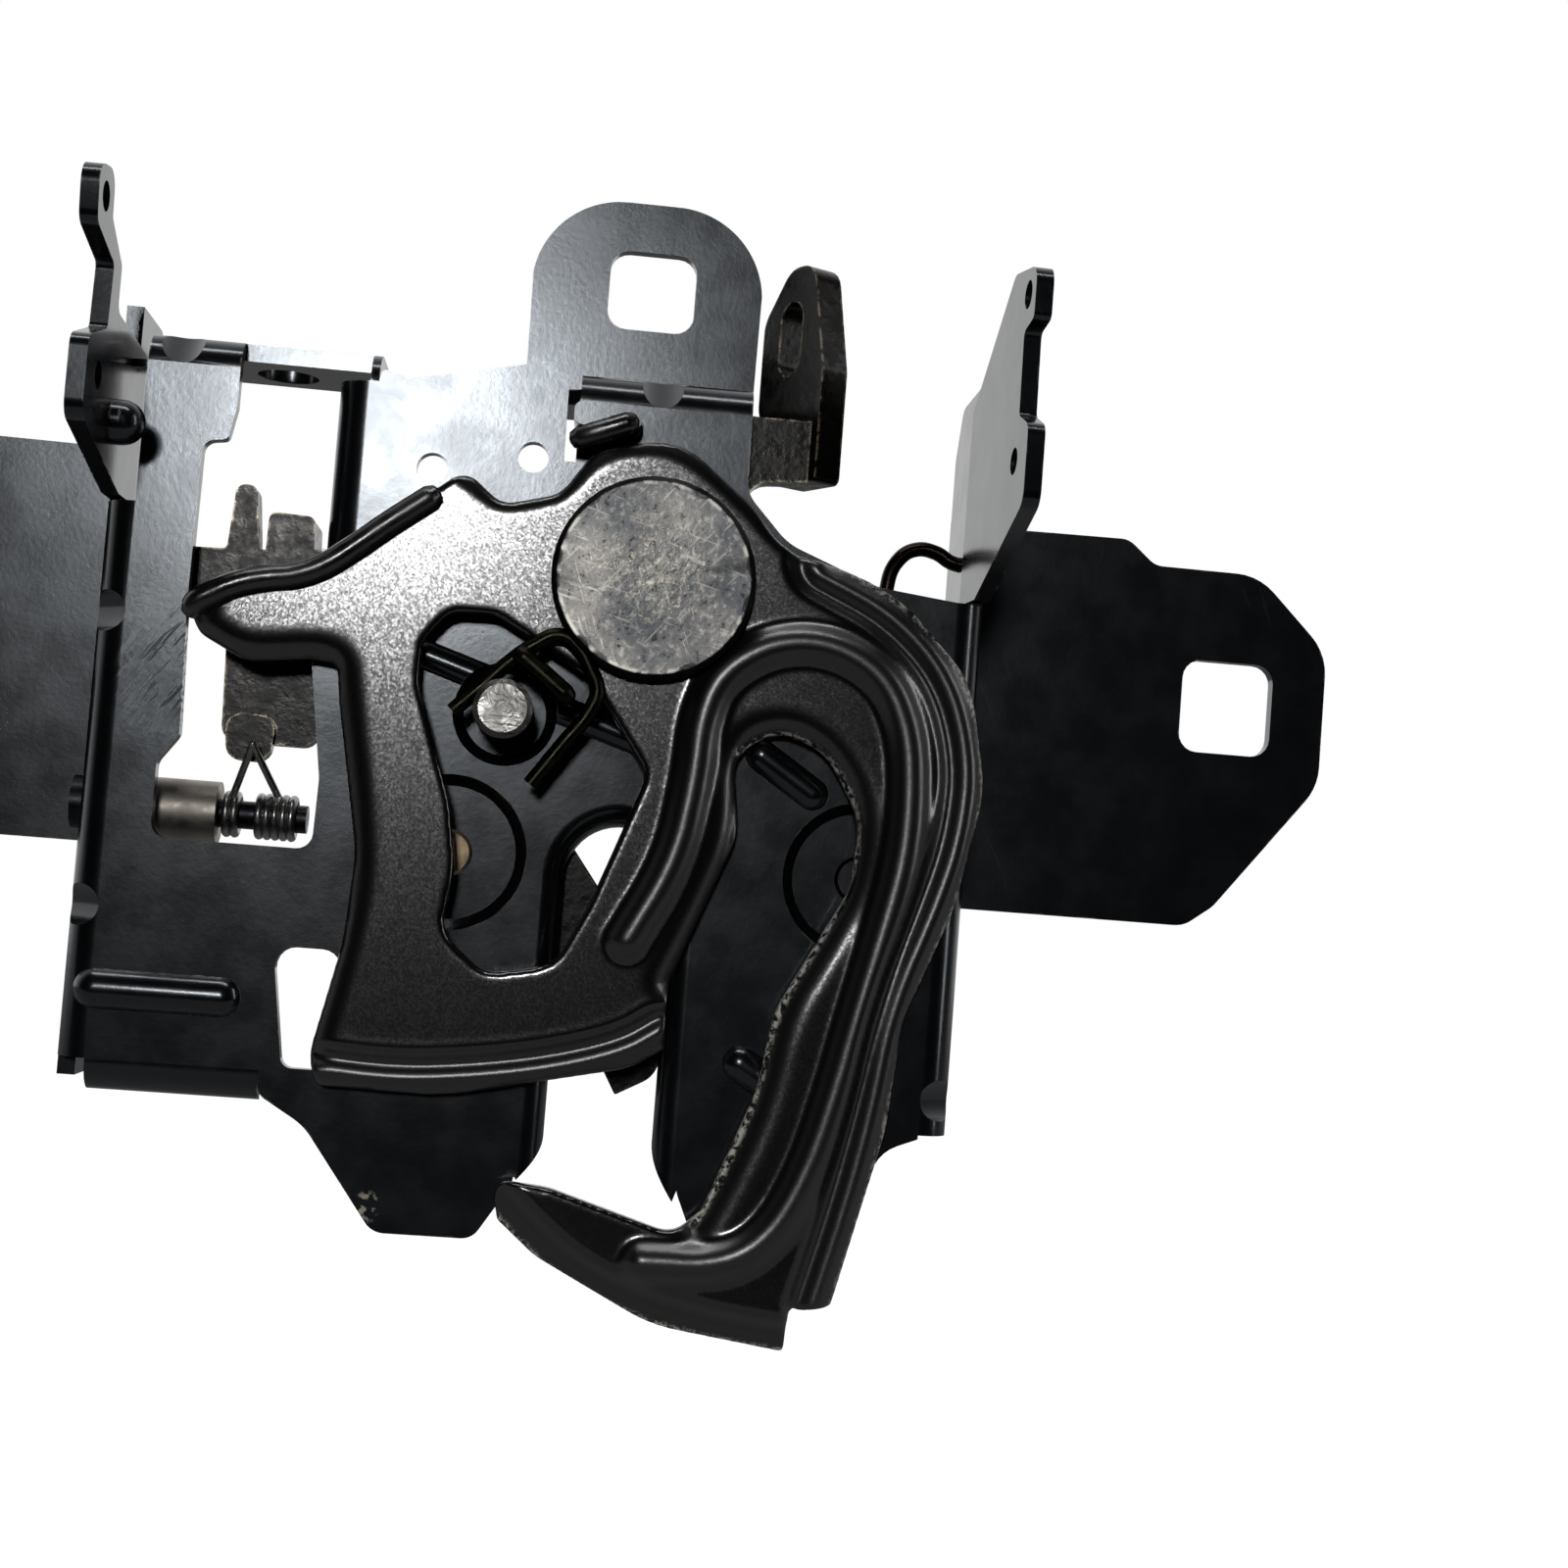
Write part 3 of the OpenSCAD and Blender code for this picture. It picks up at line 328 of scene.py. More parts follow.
def bent_wire(name, points, diameter, radii=()):
    """A round wire bent smoothly through its points, thinner where radii below one are given."""
    bpy.ops.object.select_all(action="DESELECT")
    bpy.ops.curve.primitive_bezier_curve_add(enter_editmode=True, location=(0, 0, 0))
    piece = bpy.context.object
    piece.name = name
    bpy.ops.curve.select_all(action="SELECT")
    spline = piece.data.splines[0]
    first, second = [Vector(p) * MM for p in points[:2]]
    spline.bezier_points[0].co = first
    spline.bezier_points[1].co = second
    bpy.ops.curve.select_all(action="DESELECT")
    spline.bezier_points[1].select_control_point = True
    for point in points[2:]:
        bpy.ops.curve.vertex_add(location=Vector(point) * MM)
    bpy.ops.curve.select_all(action="SELECT")
    bpy.ops.curve.handle_type_set(type="AUTOMATIC")
    for point, radius in zip(spline.bezier_points, radii):
        point.radius = radius
    bpy.ops.object.mode_set(mode="OBJECT")
    piece.data.dimensions = "3D"
    piece.data.bevel_depth = diameter / 2 * MM
    piece.data.bevel_resolution = 5
    piece.data.resolution_u = 8
    piece.data.use_fill_caps = True
    take(piece)
    bpy.ops.object.convert(target="MESH")
    smooth_faces(piece, WIRE_ANGLE)
    return piece


def round_ended(name, points, diameter):
    """A bent wire whose two ends are rounded off."""
    tips = []
    for end, inward in ((points[0], points[1]), (points[-1], points[-2])):
        along = (Vector(inward) - Vector(end)).normalized() * diameter
        tips.append([tuple(Vector(end) + share * along) for share, _ in TIP])
    narrow = [radius for _, radius in TIP]
    path = tips[0] + points[1:-1] + tips[1][::-1]
    return bent_wire(name, path, diameter, narrow + [1.0] * (len(points) - 2) + narrow[::-1])


def eased(points):
    """A path with its corners cut until it runs smoothly."""
    path = numpy.array(points, float)
    for _ in range(PATH_ROUNDS):
        near = 0.75 * path[:-1] + 0.25 * path[1:]
        far = 0.25 * path[:-1] + 0.75 * path[1:]
        inner = numpy.empty((2 * len(near), 2))
        inner[0::2] = near
        inner[1::2] = far
        path = numpy.vstack([path[:1], inner, path[-1:]])
    return path


def reach(places, points):
    """Distance of each place from an eased path."""
    path = eased(points)
    best = numpy.full(len(places), numpy.inf)
    for start, end in zip(path[:-1], path[1:]):
        run = end - start
        share = numpy.clip((places - start) @ run / (run @ run), 0, 1)
        best = numpy.minimum(best, numpy.linalg.norm(places - start - share[:, None] * run, axis=1))
    return best


def pressed(distance, stations):
    """Forward height at a distance from a path, with the corners of its profile rounded."""
    far, height = zip(*stations)
    return numpy.mean([numpy.interp(abs(distance + shift), far, height) for shift in PRESS_BLUR], axis=0)


def places_of(piece):
    """The vertices of a piece in millimetres."""
    flat = numpy.empty(len(piece.data.vertices) * 3)
    piece.data.vertices.foreach_get("co", flat)
    return flat.reshape(-1, 3) / MM


def move_to(piece, places):
    """Put the vertices of a piece at new places in millimetres."""
    piece.data.vertices.foreach_set("co", (places * MM).ravel())
    piece.data.update()


def hook_blank():
    """The safety hook's outline as a flat sheet: faces that look forward lie in front, the rest behind."""
    piece = from_node("safety_hook", "hook_pressing")
    front = numpy.zeros(len(piece.data.vertices), bool)
    for face in piece.data.polygons:
        if face.normal.y < LOOKS_FORWARD:
            front[list(face.vertices)] = True
    places = places_of(piece)
    places[:, 1] = numpy.where(front, HOOK_FRONT, HOOK_BACK)
    move_to(piece, places)
    finish_with(piece, "REMESH", mode="VOXEL", voxel_size=HOOK_VOXEL * MM)
    return piece


def hook_pressing():
    """The safety hook as one pressed sheet: beads pushed forward, edges turned back and chipped."""
    piece = hook_blank()
    places = places_of(piece)
    flat = places[:, [0, 2]]
    places[:, 0] += OUTER_SPREAD * numpy.clip(1 - reach(flat, OUTER_EDGE) / SPREAD_FROM, 0, 1)
    depth = (places[:, 1] - HOOK_FRONT) / (HOOK_BACK - HOOK_FRONT)
    forward = numpy.zeros(len(flat))
    for path, profile in ((MAIN_BEAD, BEAD_PRESS), (OUTER_EDGE, OUTER_PRESS), (FOOT_EDGE, FOOT_PRESS),
                          (BEAK_EDGE, BEAK_PRESS), (MOUTH_EDGE, MOUTH_PRESS), (NOSE_EDGE, NOSE_PRESS),
                          (CROWN_EDGE, CROWN_PRESS)):
        forward += pressed(reach(flat, path), profile)
    places[:, 1] -= forward
    places[:, 1] = numpy.minimum(places[:, 1], FACE_Y - HOOK_CLEAR - TURNED_EDGE * (1 - depth))
    move_to(piece, places)
    finish_with(piece, "SMOOTH", factor=0.5, iterations=HOOK_SOFTENING)
    smooth_faces(piece, HOOK_ANGLE)
    wear = numpy.zeros(len(flat))
    for path, width, share in CHIPPED:
        wear = numpy.maximum(wear, share * numpy.clip(CHIP_END - reach(flat, path) / width, 0, 1))
    rolled = numpy.clip(abs(forward) / ROLLED_FROM, 0, 1)
    for name, values in (("wear", wear), ("rolled", rolled)):
        marks = piece.data.attributes.new(name, "FLOAT", "POINT")
        marks.data.foreach_set("value", values)
    return piece


def coil(centre, radius, start, turns, pitch):
    """Points round a wound coil about Y: the start in degrees, turns signed by their sense."""
    points = []
    count = round(abs(turns) * COIL_STEPS)
    for i in range(count + 1):
        angle = math.radians(start + 360 * turns * i / count)
        along = pitch * abs(turns) * i / count
        across = radius * math.cos(angle)
        up = radius * math.sin(angle)
        points.append((centre[0] + across, centre[1] + along, centre[2] + up))
    return points


# Material helpers
EDGE_TURN = (0.02, 0.25)


class Finish:
    """A node material in the making: one shader fed by patterns on object coordinates."""

    def __init__(self, name, metallic=0.0, specular=0.5, sheen=(1.0, 1.0, 1.0)):
        self.material = bpy.data.materials.new(name)
        self.material.use_nodes = True
        self.tree = self.material.node_tree
        self.shader = self.tree.nodes["Principled BSDF"]
        self.shader.inputs["Metallic"].default_value = metallic
        self.shader.inputs["Specular IOR Level"].default_value = specular
        self.shader.inputs["Specular Tint"].default_value = (*sheen, 1.0)
        self.place = self.tree.nodes.new("ShaderNodeTexCoord").outputs["Object"]
        self.height = None

    def add(self, kind, **values):
        """A node with its inputs set by name; a socket as a value is linked."""
        node = self.tree.nodes.new(kind)
        for name, value in values.items():
            self.feed(node.inputs[name.replace("_", " ")], value)
        return node

    def feed(self, socket, value):
        """Link a socket to another, or set it to a value."""
        if isinstance(value, bpy.types.NodeSocket):
            self.tree.links.new(value, socket)
        else:
            socket.default_value = value

    def stretched(self, scale, turn):
        """Object coordinates turned about Y by an angle in degrees, then scaled along each axis."""
        turned = self.add("ShaderNodeMapping", Vector=self.place)
        turned.inputs["Rotation"].default_value = (0.0, math.radians(turn), 0.0)
        return self.add("ShaderNodeMapping", Vector=turned.outputs["Vector"], Scale=scale).outputs["Vector"]

    def noise(self, scale, detail=3.0, rough=0.55, at=None):
        """Soft clouds of a scale, counted per metre."""
        node = self.add("ShaderNodeTexNoise", Vector=at or self.place, Scale=scale, Detail=detail,
                        Roughness=rough)
        return node.outputs["Fac"]

    def cells(self, scale):
        """Distance from the middle of the nearest of many small cells."""
        return self.add("ShaderNodeTexVoronoi", Vector=self.place, Scale=scale).outputs["Distance"]

    def mark(self, name):
        """A value that the mesh carries at its points."""
        node = self.tree.nodes.new("ShaderNodeAttribute")
        node.attribute_name = name
        return node.outputs["Fac"]

    def between(self, value, low, high, out_low=0.0, out_high=1.0):
        """A value remapped from one span to another and held inside it."""
        node = self.add("ShaderNodeMapRange", Value=value)
        node.interpolation_type = "SMOOTHSTEP"
        node.inputs["From Min"].default_value = low
        node.inputs["From Max"].default_value = high
        node.inputs["To Min"].default_value = out_low
        node.inputs["To Max"].default_value = out_high
        return node.outputs["Result"]

    def maths(self, operation, a, b):
        """Result of one operation on two values."""
        node = self.tree.nodes.new("ShaderNodeMath")
        node.operation = operation
        self.feed(node.inputs[0], a)
        self.feed(node.inputs[1], b)
        return node.outputs[0]

    def mixed(self, factor, a, b):
        """One colour over another by a factor."""
        node = self.tree.nodes.new("ShaderNodeMix")
        node.data_type = "RGBA"
        self.feed(node.inputs["Factor"], factor)
        colours = [s for s in node.inputs if s.type == "RGBA"]
        for socket, colour in zip(colours, (a, b)):
            self.feed(socket, colour if isinstance(colour, bpy.types.NodeSocket) else (*colour, 1.0))
        return [s for s in node.outputs if s.type == "RGBA"][0]

    def near(self, centre, reach, edge):
        """One inside a ball about a place on the part, fading to nothing across the edge."""
        node = self.tree.nodes.new("ShaderNodeVectorMath")
        node.operation = "DISTANCE"
        self.feed(node.inputs[0], self.place)
        node.inputs[1].default_value = [c * MM for c in centre]
        return self.between(node.outputs["Value"], (reach - edge) * MM, (reach + edge) * MM, 1.0, 0.0)

    def edges(self, radius):
        """How sharply the surface turns within a radius, from the rounded and the true normals."""
        soft = self.add("ShaderNodeBevel", Radius=radius * MM)
        soft.samples = 6
        true = self.tree.nodes.new("ShaderNodeNewGeometry")
        dot = self.tree.nodes.new("ShaderNodeVectorMath")
        dot.operation = "DOT_PRODUCT"
        self.feed(dot.inputs[0], soft.outputs["Normal"])
        self.feed(dot.inputs[1], true.outputs["Normal"])
        return self.between(self.maths("SUBTRACT", 1.0, dot.outputs["Value"]), *EDGE_TURN)

    def colour(self, socket):
        """Colour of the finish from a pattern."""
        self.tree.links.new(socket, self.shader.inputs["Base Color"])

    def roughness(self, socket):
        """Roughness of the finish from a pattern."""
        self.tree.links.new(socket, self.shader.inputs["Roughness"])

    def metal(self, socket):
        """How metallic the finish is, from a pattern."""
        self.tree.links.new(socket, self.shader.inputs["Metallic"])

    def bump(self, height, depth, strength):
        """Fine relief of a depth in millimetres, added over the relief before it."""
        node = self.add("ShaderNodeBump", Height=height, Distance=depth * MM, Strength=strength)
        if self.height:
            self.tree.links.new(self.height, node.inputs["Normal"])
        self.height = node.outputs["Normal"]
        self.tree.links.new(self.height, self.shader.inputs["Normal"])

    def facets(self, scale, tilt):
        """Tiny grains that each lean their own way, over the relief before them."""
        grain = self.add("ShaderNodeTexVoronoi", Vector=self.place, Scale=scale).outputs["Color"]
        normal = self.height or self.tree.nodes.new("ShaderNodeNewGeometry").outputs["Normal"]
        for operation, amount in (("SUBTRACT", (0.5, 0.5, 0.5)), ("MULTIPLY", (tilt, tilt, tilt)),
                                  ("ADD", normal), ("NORMALIZE", (0.0, 0.0, 0.0))):
            step = self.tree.nodes.new("ShaderNodeVectorMath")
            step.operation = operation
            self.feed(step.inputs[0], grain)
            self.feed(step.inputs[1], amount)
            grain = step.outputs["Vector"]
        self.tree.links.new(grain, self.shader.inputs["Normal"])


# Finishes
BARE = (0.30, 0.285, 0.26)


def black_coat():
    """Dip-coated case: satin black with a blue cast, dust, glitter, scuffs, worn edges and slow waves."""
    finish = Finish("black_coat", specular=0.72, sheen=(0.88, 0.94, 1.0))
    cloud = finish.noise(60.0, 4.0)
    tint = finish.mixed(cloud, (0.0016, 0.0018, 0.0022), (0.0036, 0.004, 0.005))
    specks = finish.between(finish.cells(900.0), 0.03, 0.09, 1.0, 0.0)
    dusty = finish.maths("MULTIPLY", specks, finish.between(finish.noise(45.0), 0.56, 0.7))
    tint = finish.mixed(finish.maths("MULTIPLY", dusty, 0.3), tint, (0.12, 0.12, 0.115))
    glitter = finish.between(finish.cells(1300.0), 0.04, 0.12, 1.0, 0.0)
    glitter = finish.maths("MULTIPLY", glitter, finish.between(finish.noise(160.0), 0.42, 0.62))
    glitter = finish.maths("MULTIPLY", glitter, finish.near(GLITTER_AT, 16.0, 10.0))
    tint = finish.mixed(finish.maths("MULTIPLY", glitter, 0.75), tint, (0.5, 0.5, 0.48))
    lines = finish.noise(1.0, 2.0, 0.5, at=finish.stretched((1500.0, 400.0, 60.0), 25.0))
    patches = finish.between(finish.noise(30.0), 0.5, 0.6)
    fine = finish.maths("MULTIPLY", finish.between(lines, 0.66, 0.70), patches)
    tint = finish.mixed(finish.maths("MULTIPLY", fine, 0.2), tint, (0.05, 0.05, 0.055))
    worn = finish.maths("MULTIPLY", finish.edges(0.5), finish.between(finish.noise(260.0, 4.0), 0.56, 0.66))
    tint = finish.mixed(worn, tint, BARE)
    flake = finish.between(finish.noise(700.0), 0.50, 0.56)
    chip = finish.maths("MULTIPLY", finish.near(CHIP_AT, 1.7, 0.6), flake)
    tint = finish.mixed(chip, tint, (0.45, 0.42, 0.34))
    finish.colour(tint)
    rubbed = finish.noise(1.0, 3.0, 0.6, at=finish.stretched((2400.0, 900.0, 240.0), -35.0))
    scuff = finish.maths("MULTIPLY", finish.near(SCUFF_AT, 7.0, 4.0), finish.between(rubbed, 0.52, 0.6))
    rough = finish.between(finish.noise(180.0, 3.0), 0.3, 0.7, 0.18, 0.22)
    finish.roughness(finish.maths("ADD", rough, finish.maths("MULTIPLY", scuff, 0.35)))
    finish.bump(finish.noise(24.0, 1.0), 0.25, 1.0)
    finish.bump(finish.noise(1400.0, 2.0), 0.012, 0.6)
    return finish.material


def hook_coat():
    """Hook coating: black with a fine glinting grain, chipped to bright steel along its edges."""
    finish = Finish("hook_coat", specular=1.0)
    flakes = finish.between(finish.noise(1100.0, 4.0, 0.7), 0.46, 0.56)
    bare = finish.maths("MULTIPLY", finish.mark("wear"), flakes)
    dust = finish.between(finish.cells(700.0), 0.02, 0.06, 1.0, 0.0)
    dust = finish.maths("MULTIPLY", dust, finish.between(finish.noise(60.0), 0.58, 0.7))
    tint = finish.mixed(finish.noise(90.0, 4.0), (0.0016, 0.0016, 0.0016), (0.0032, 0.0031, 0.0029))
    tint = finish.mixed(finish.maths("MULTIPLY", dust, 0.4), tint, (0.2, 0.19, 0.17))
    finish.colour(finish.mixed(bare, tint, (0.9, 0.86, 0.78)))
    finish.metal(finish.maths("MULTIPLY", bare, 0.4))
    rough = finish.maths("ADD", 0.178, finish.maths("MULTIPLY", bare, 0.15))
    finish.roughness(finish.maths("ADD", rough, finish.maths("MULTIPLY", finish.mark("rolled"), 0.13)))
    finish.bump(bare, 0.04, 1.0)
    finish.facets(4200.0, 0.031)
    return finish.material


def burnished_steel():
    """Heat-blackened lever steel with a brown cast and glittering sheared edges."""
    finish = Finish("burnished_steel", metallic=0.3, specular=0.25)
    cloud = finish.noise(120.0, 5.0)
    tint = finish.mixed(cloud, (0.0022, 0.0017, 0.0014), (0.007, 0.0054, 0.004))
    edge = finish.maths("MULTIPLY", finish.edges(0.7), finish.between(finish.noise(900.0, 3.0), 0.42, 0.6))
    tint = finish.mixed(edge, tint, (0.42, 0.35, 0.25))
    finish.colour(tint)
    finish.roughness(finish.between(finish.noise(500.0, 4.0), 0.3, 0.7, 0.2, 0.36))
    finish.bump(finish.noise(900.0, 4.0), 0.08, 0.6)
    return finish.material


def rivet_steel():
    """Dull headed rivet: scratched grey steel, glinting in its middle and bright on its rim, with painted
    shade on the side of its head.
    """
    finish = Finish("rivet_steel", metallic=0.9)
    cloud = finish.noise(110.0, 5.0, 0.6)
    fine = finish.noise(850.0, 5.0, 0.75)
    tint = finish.mixed(finish.between(cloud, 0.3, 0.7), (0.125, 0.135, 0.15), (0.20, 0.192, 0.178))
    tint = finish.mixed(finish.between(fine, 0.52, 0.66), tint, (0.34, 0.33, 0.30))
    tint = finish.mixed(finish.between(fine, 0.44, 0.34), tint, (0.04, 0.038, 0.035))
    scratches = None
    for lean in (20.0, 75.0, 140.0):
        lines = finish.noise(1.0, 2.0, 0.5, at=finish.stretched((2600.0, 400.0, 170.0), lean))
        lines = finish.between(lines, 0.66, 0.72)
        scratches = finish.maths("MAXIMUM", scratches, lines) if scratches else lines
    tint = finish.mixed(finish.maths("MULTIPLY", scratches, 0.7), tint, (0.42, 0.41, 0.38))
    glints = finish.between(finish.noise(1300.0, 3.0, 0.7), 0.56, 0.64)
    middle = finish.near(RIVET_FACE, 7.0, 4.5)
    tint = finish.mixed(finish.maths("MULTIPLY", glints, middle), tint, (0.40, 0.37, 0.30))
    # Painted shade: the side of the head, where the shadow ring round it falls, is made near black
    side = finish.near(RIVET_FACE, 12.05, 0.12)
    tint = finish.mixed(side, (0.006, 0.006, 0.006), tint)
    rim = finish.maths("SUBTRACT", finish.near(RIVET_FACE, 12.1, 0.15), finish.near(RIVET_FACE, 11.7, 0.2))
    rim = finish.maths("MULTIPLY", rim, finish.between(finish.noise(500.0, 3.0), 0.46, 0.58))
    finish.colour(finish.mixed(rim, tint, (0.5, 0.48, 0.44)))
    finish.roughness(finish.between(cloud, 0.3, 0.7, 0.5, 0.38))
    finish.bump(finish.noise(420.0, 6.0, 0.7), 0.1, 0.8)
    finish.bump(finish.maths("MULTIPLY", middle, finish.noise(900.0, 3.0, 0.7)), 0.16, 0.8)
    return finish.material


def worn_pin():
    """Pin with a bright beaten top and dark sides."""
    finish = Finish("worn_pin_steel", metallic=1.0)
    turn = finish.tree.nodes.new("ShaderNodeNewGeometry").outputs["Normal"]
    split = finish.add("ShaderNodeSeparateXYZ", Vector=turn)
    front = finish.between(split.outputs["Y"], -0.9, -0.6, 1.0, 0.0)
    top = finish.mixed(finish.noise(700.0, 5.0, 0.7), (0.10, 0.10, 0.095), (0.72, 0.70, 0.66))
    finish.colour(finish.mixed(front, (0.012, 0.011, 0.010), top))
    finish.roughness(finish.between(finish.noise(500.0, 3.0), 0.3, 0.7, 0.25, 0.5))
    swirl = finish.add("ShaderNodeTexNoise", Vector=finish.place, Scale=420.0, Detail=4.0, Distortion=2.5)
    finish.bump(swirl.outputs["Fac"], 0.35, 0.8)
    return finish.material


def plain_metal(name, dark, light, low_rough, high_rough, grain=0.03):
    """Bare or plated metal with a clouded tone and a fine grain."""
    finish = Finish(name, metallic=1.0)
    finish.colour(finish.mixed(finish.noise(300.0, 5.0, 0.6), dark, light))
    finish.roughness(finish.between(finish.noise(600.0, 3.0), 0.3, 0.7, low_rough, high_rough))
    finish.bump(finish.noise(1500.0, 3.0), grain, 0.5)
    return finish.material


def gloss_black():
    """Smooth black wire with a soft, uneven shine."""
    finish = Finish("gloss_black_wire", specular=1.0)
    finish.colour(finish.mixed(finish.noise(200.0), (0.0012, 0.0012, 0.0012), (0.003, 0.003, 0.0028)))
    finish.roughness(finish.between(finish.noise(160.0), 0.35, 0.65, 0.2, 0.34))
    finish.bump(finish.noise(220.0, 3.0), 0.2, 0.7)
    return finish.material


COAT = black_coat()
HOOK = hook_coat()
LEVER = burnished_steel()
RIVET = rivet_steel()
PIN = worn_pin()
GLOSS = gloss_black()
BRASSY = plain_metal("yellow_zinc", (0.10, 0.075, 0.045), (0.34, 0.27, 0.18), 0.35, 0.6)
ZINC = plain_metal("bright_zinc", (0.20, 0.20, 0.195), (0.42, 0.42, 0.41), 0.25, 0.45, 0.02)
OLIVE = plain_metal("oiled_wire", (0.006, 0.006, 0.004), (0.022, 0.021, 0.014), 0.22, 0.4, 0.05)
BRONZE = plain_metal("bronze_black_wire", (0.007, 0.005, 0.0042), (0.026, 0.018, 0.014), 0.18, 0.3, 0.02)
SLEEVE = plain_metal("worn_sleeve", (0.16, 0.145, 0.125), (0.42, 0.39, 0.35), 0.4, 0.55)
PALE = plain_metal("pale_sleeve", (0.05, 0.049, 0.047), (0.13, 0.129, 0.125), 0.4, 0.6)
WASHER = plain_metal("dull_washer", (0.010, 0.010, 0.012), (0.030, 0.031, 0.036), 0.3, 0.45)

# Case and hook
case_sheet = from_node("lock_plate", "case_sheet")
taper_lips(case_sheet)
round_tab(case_sheet)
ease_edges(case_sheet, SHEET_EDGE)
settle(case_sheet, "lock_plate", "case", COAT)

back_sheet = eased_copy("backing_plate", "back_sheet", SHEET_EDGE)
settle(back_sheet, "backing_plate", "case", COAT)

settle(hook_pressing(), "safety_hook", "hook", HOOK)
settle(round_ended("nose_wire", NOSE_WIRE, NOSE_WIRE_D), "safety_hook", "hook", GLOSS)
settle(round_ended("crown_finger", FINGER, FINGER_D), "lock_plate", "case", GLOSS)

# Springs
pawl_coil = coil(PAWL_COIL_AT, PAWL_COIL_R, PAWL_COIL_START, PAWL_COIL_TURNS, PAWL_COIL_PITCH)
pawl_wire = bent_wire("pawl_spring_wire", PAWL_LEAD + pawl_coil + PAWL_TAIL, PAWL_WIRE_D)
settle(pawl_wire, "pawl_spring", "case", BRONZE)

catch_coil = coil(CATCH_COIL_AT, CATCH_COIL_R, CATCH_COIL_START, CATCH_COIL_TURNS, CATCH_COIL_PITCH)
catch_wire = bent_wire("catch_spring_wire", CATCH_LEAD + catch_coil + CATCH_TAIL, CATCH_WIRE_D)
settle(catch_wire, "catch_spring", "case", BRONZE)

clip_path = [(across, CLIP_Y, up) for across, up in CLIP]
settle(bent_wire("hook_spring_wire", clip_path, CLIP_D), "hook_spring", "hook", OLIVE)
settle(round_ended("clip_bar", BAR, BAR_D), "spring_bar", "hook", OLIVE)

# Levers, rivets and pins
for node, name, body in (("release_lever", "release_arm", "lever"), ("catch_fork", "rotary_catch", "catch"),
                         ("pawl", "locking_dog", "locking_pawl")):
    settle(eased_copy(node, name, LEVER_EDGE), node, body, LEVER)

rivet = from_node("hook_rivet", "headed_rivet")
spots = places_of(rivet)
spots[spots[:, 1] < HEAD_FRONT + HEAD_CROWN, 1] = HEAD_FRONT
move_to(rivet, spots)
smooth_faces(rivet)
settle(rivet, "hook_rivet", "case", RIVET)

for node, finish in (("stop_pin", PIN), ("catch_rivet", BRASSY), ("pawl_rivet", WASHER),
                     ("hook_washer", WASHER), ("lever_spacer", WASHER), ("lever_washer", WASHER),
                     ("catch_bush", PALE), ("pawl_bush", PALE), ("spring_bush", SLEEVE),
                     ("spring_pin", WASHER), ("return_spring", ZINC)):
    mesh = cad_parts[node].data
    mesh.materials.clear()
    mesh.materials.append(finish)


# Studio
def dark_front(world):
    """White room that darkens towards the front, below and to the right; white to the camera."""
    world.use_nodes = True
    tree = world.node_tree
    background = tree.nodes["Background"]
    spot = tree.nodes.new("ShaderNodeTexCoord")
    lean = tree.nodes.new("ShaderNodeVectorMath")
    lean.operation = "DOT_PRODUCT"
    tree.links.new(spot.outputs["Generated"], lean.inputs[0])
    lean.inputs[1].default_value = Vector(ROOM_LEAN).normalized()
    ramp = tree.nodes.new("ShaderNodeMapRange")
    ramp.interpolation_type = "SMOOTHSTEP"
    tree.links.new(lean.outputs["Value"], ramp.inputs["Value"])
    for name, value in ROOM_RAMP:
        ramp.inputs[name].default_value = value
    ray = tree.nodes.new("ShaderNodeLightPath")
    top = tree.nodes.new("ShaderNodeMath")
    top.operation = "MAXIMUM"
    tree.links.new(ramp.outputs["Result"], top.inputs[0])
    tree.links.new(ray.outputs["Is Camera Ray"], top.inputs[1])
    background.inputs["Color"].default_value = (1, 1, 1, 1)
    tree.links.new(top.outputs[0], background.inputs["Strength"])


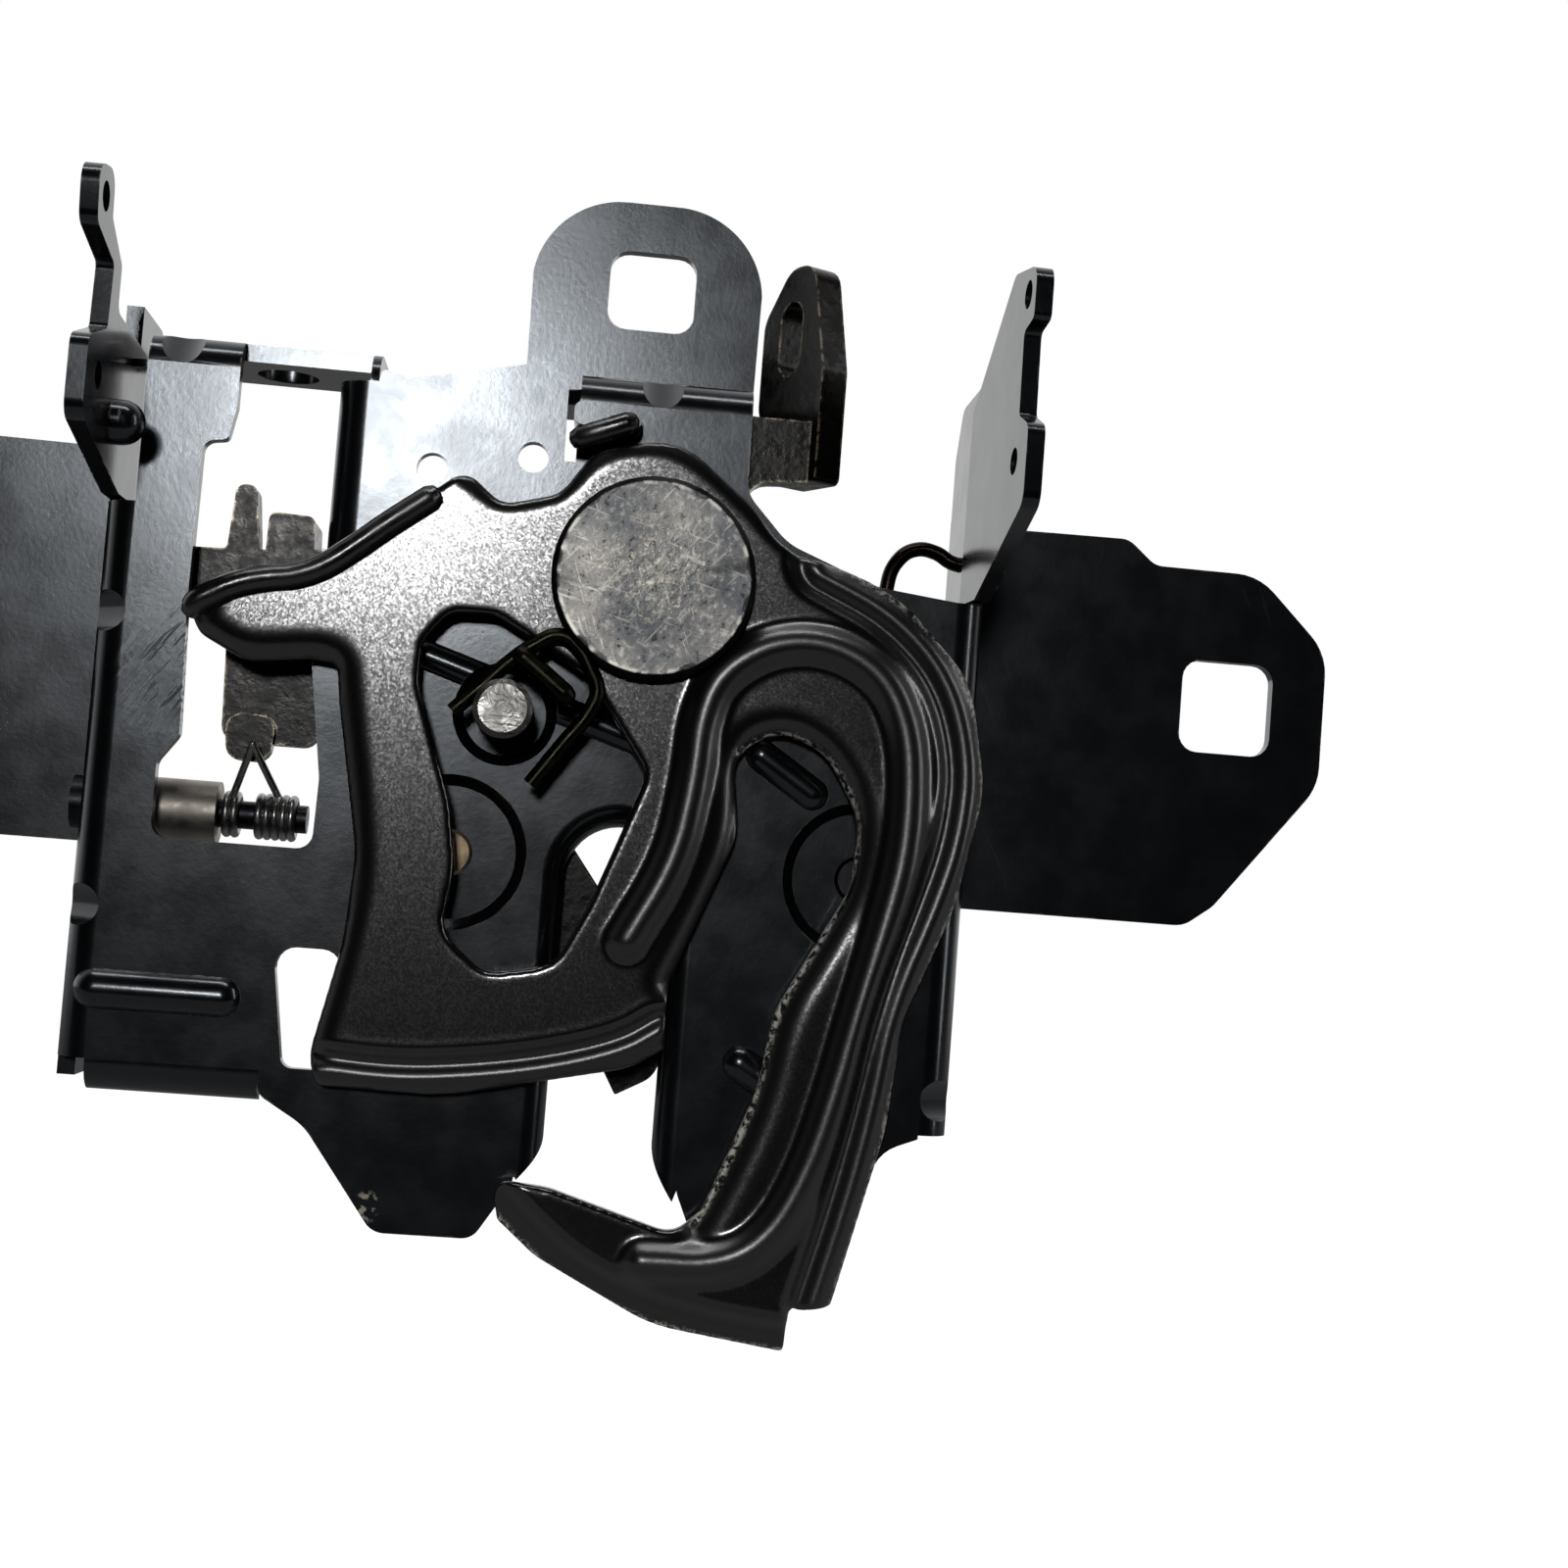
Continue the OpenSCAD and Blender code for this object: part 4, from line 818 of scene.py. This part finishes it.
def studio():
    """White floor below the part, a key lamp at the upper left, two faint strips, the room, the camera."""
    floor_z = cad_box[0][2] - FLOOR_DROP * MM
    bpy.ops.object.select_all(action="DESELECT")
    bpy.ops.mesh.primitive_plane_add(size=1, location=(0, FLOOR_MIDDLE * MM, floor_z))
    floor = bpy.context.object
    floor.name = "studio_floor"
    floor.scale = (2 * FLOOR_REACH * MM, 2 * FLOOR_REACH * MM, 1)
    bpy.ops.object.transform_apply(location=True, rotation=False, scale=True)
    paper = Finish("white_paper", specular=0.0)
    paper.shader.inputs["Roughness"].default_value = PAPER_ROUGHNESS
    paper.shader.inputs["Emission Color"].default_value = (1, 1, 1, 1)
    seen = paper.tree.nodes.new("ShaderNodeLightPath").outputs["Is Camera Ray"]
    paper.tree.links.new(paper.maths("MULTIPLY", seen, PAPER_GLOW), paper.shader.inputs["Emission Strength"])
    paper.colour(paper.mixed(paper.noise(3.0), *PAPER_TONES))
    floor.data.materials.append(paper.material)

    world = bpy.data.worlds.new("white_room")
    bpy.context.scene.world = world
    dark_front(world)

    for name, at, size, power in LAMPS:
        bpy.ops.object.light_add(type="AREA", location=Vector(at) * MM)
        lamp = bpy.context.object
        lamp.name = name
        lamp.data.shape = "RECTANGLE"
        lamp.data.size = size[0] * MM
        lamp.data.size_y = size[1] * MM
        lamp.data.energy = power
        aim = Vector(LAMP_AIM) * MM - lamp.location
        lamp.rotation_euler = aim.to_track_quat("-Z", "Y").to_euler()

    bpy.ops.object.camera_add()
    camera = bpy.context.object
    camera.name = "photo_camera"
    camera.data.lens = CAMERA_LENS
    camera.data.sensor_width = CAMERA_SENSOR
    camera.data.clip_start = CAMERA_CLIP * MM
    turn = Matrix.Rotation(math.radians(-CAMERA_YAW), 4, "Z")
    tilt = Matrix.Rotation(math.radians(90 + CAMERA_PITCH), 4, "X")
    roll = Matrix.Rotation(math.radians(CAMERA_ROLL), 4, "Z")
    camera.matrix_world = Matrix.Translation(Vector(CAMERA_AT) * MM) @ turn @ tilt @ roll
    bpy.context.scene.camera = camera
    bpy.context.scene.view_settings.view_transform = "Standard"


studio()
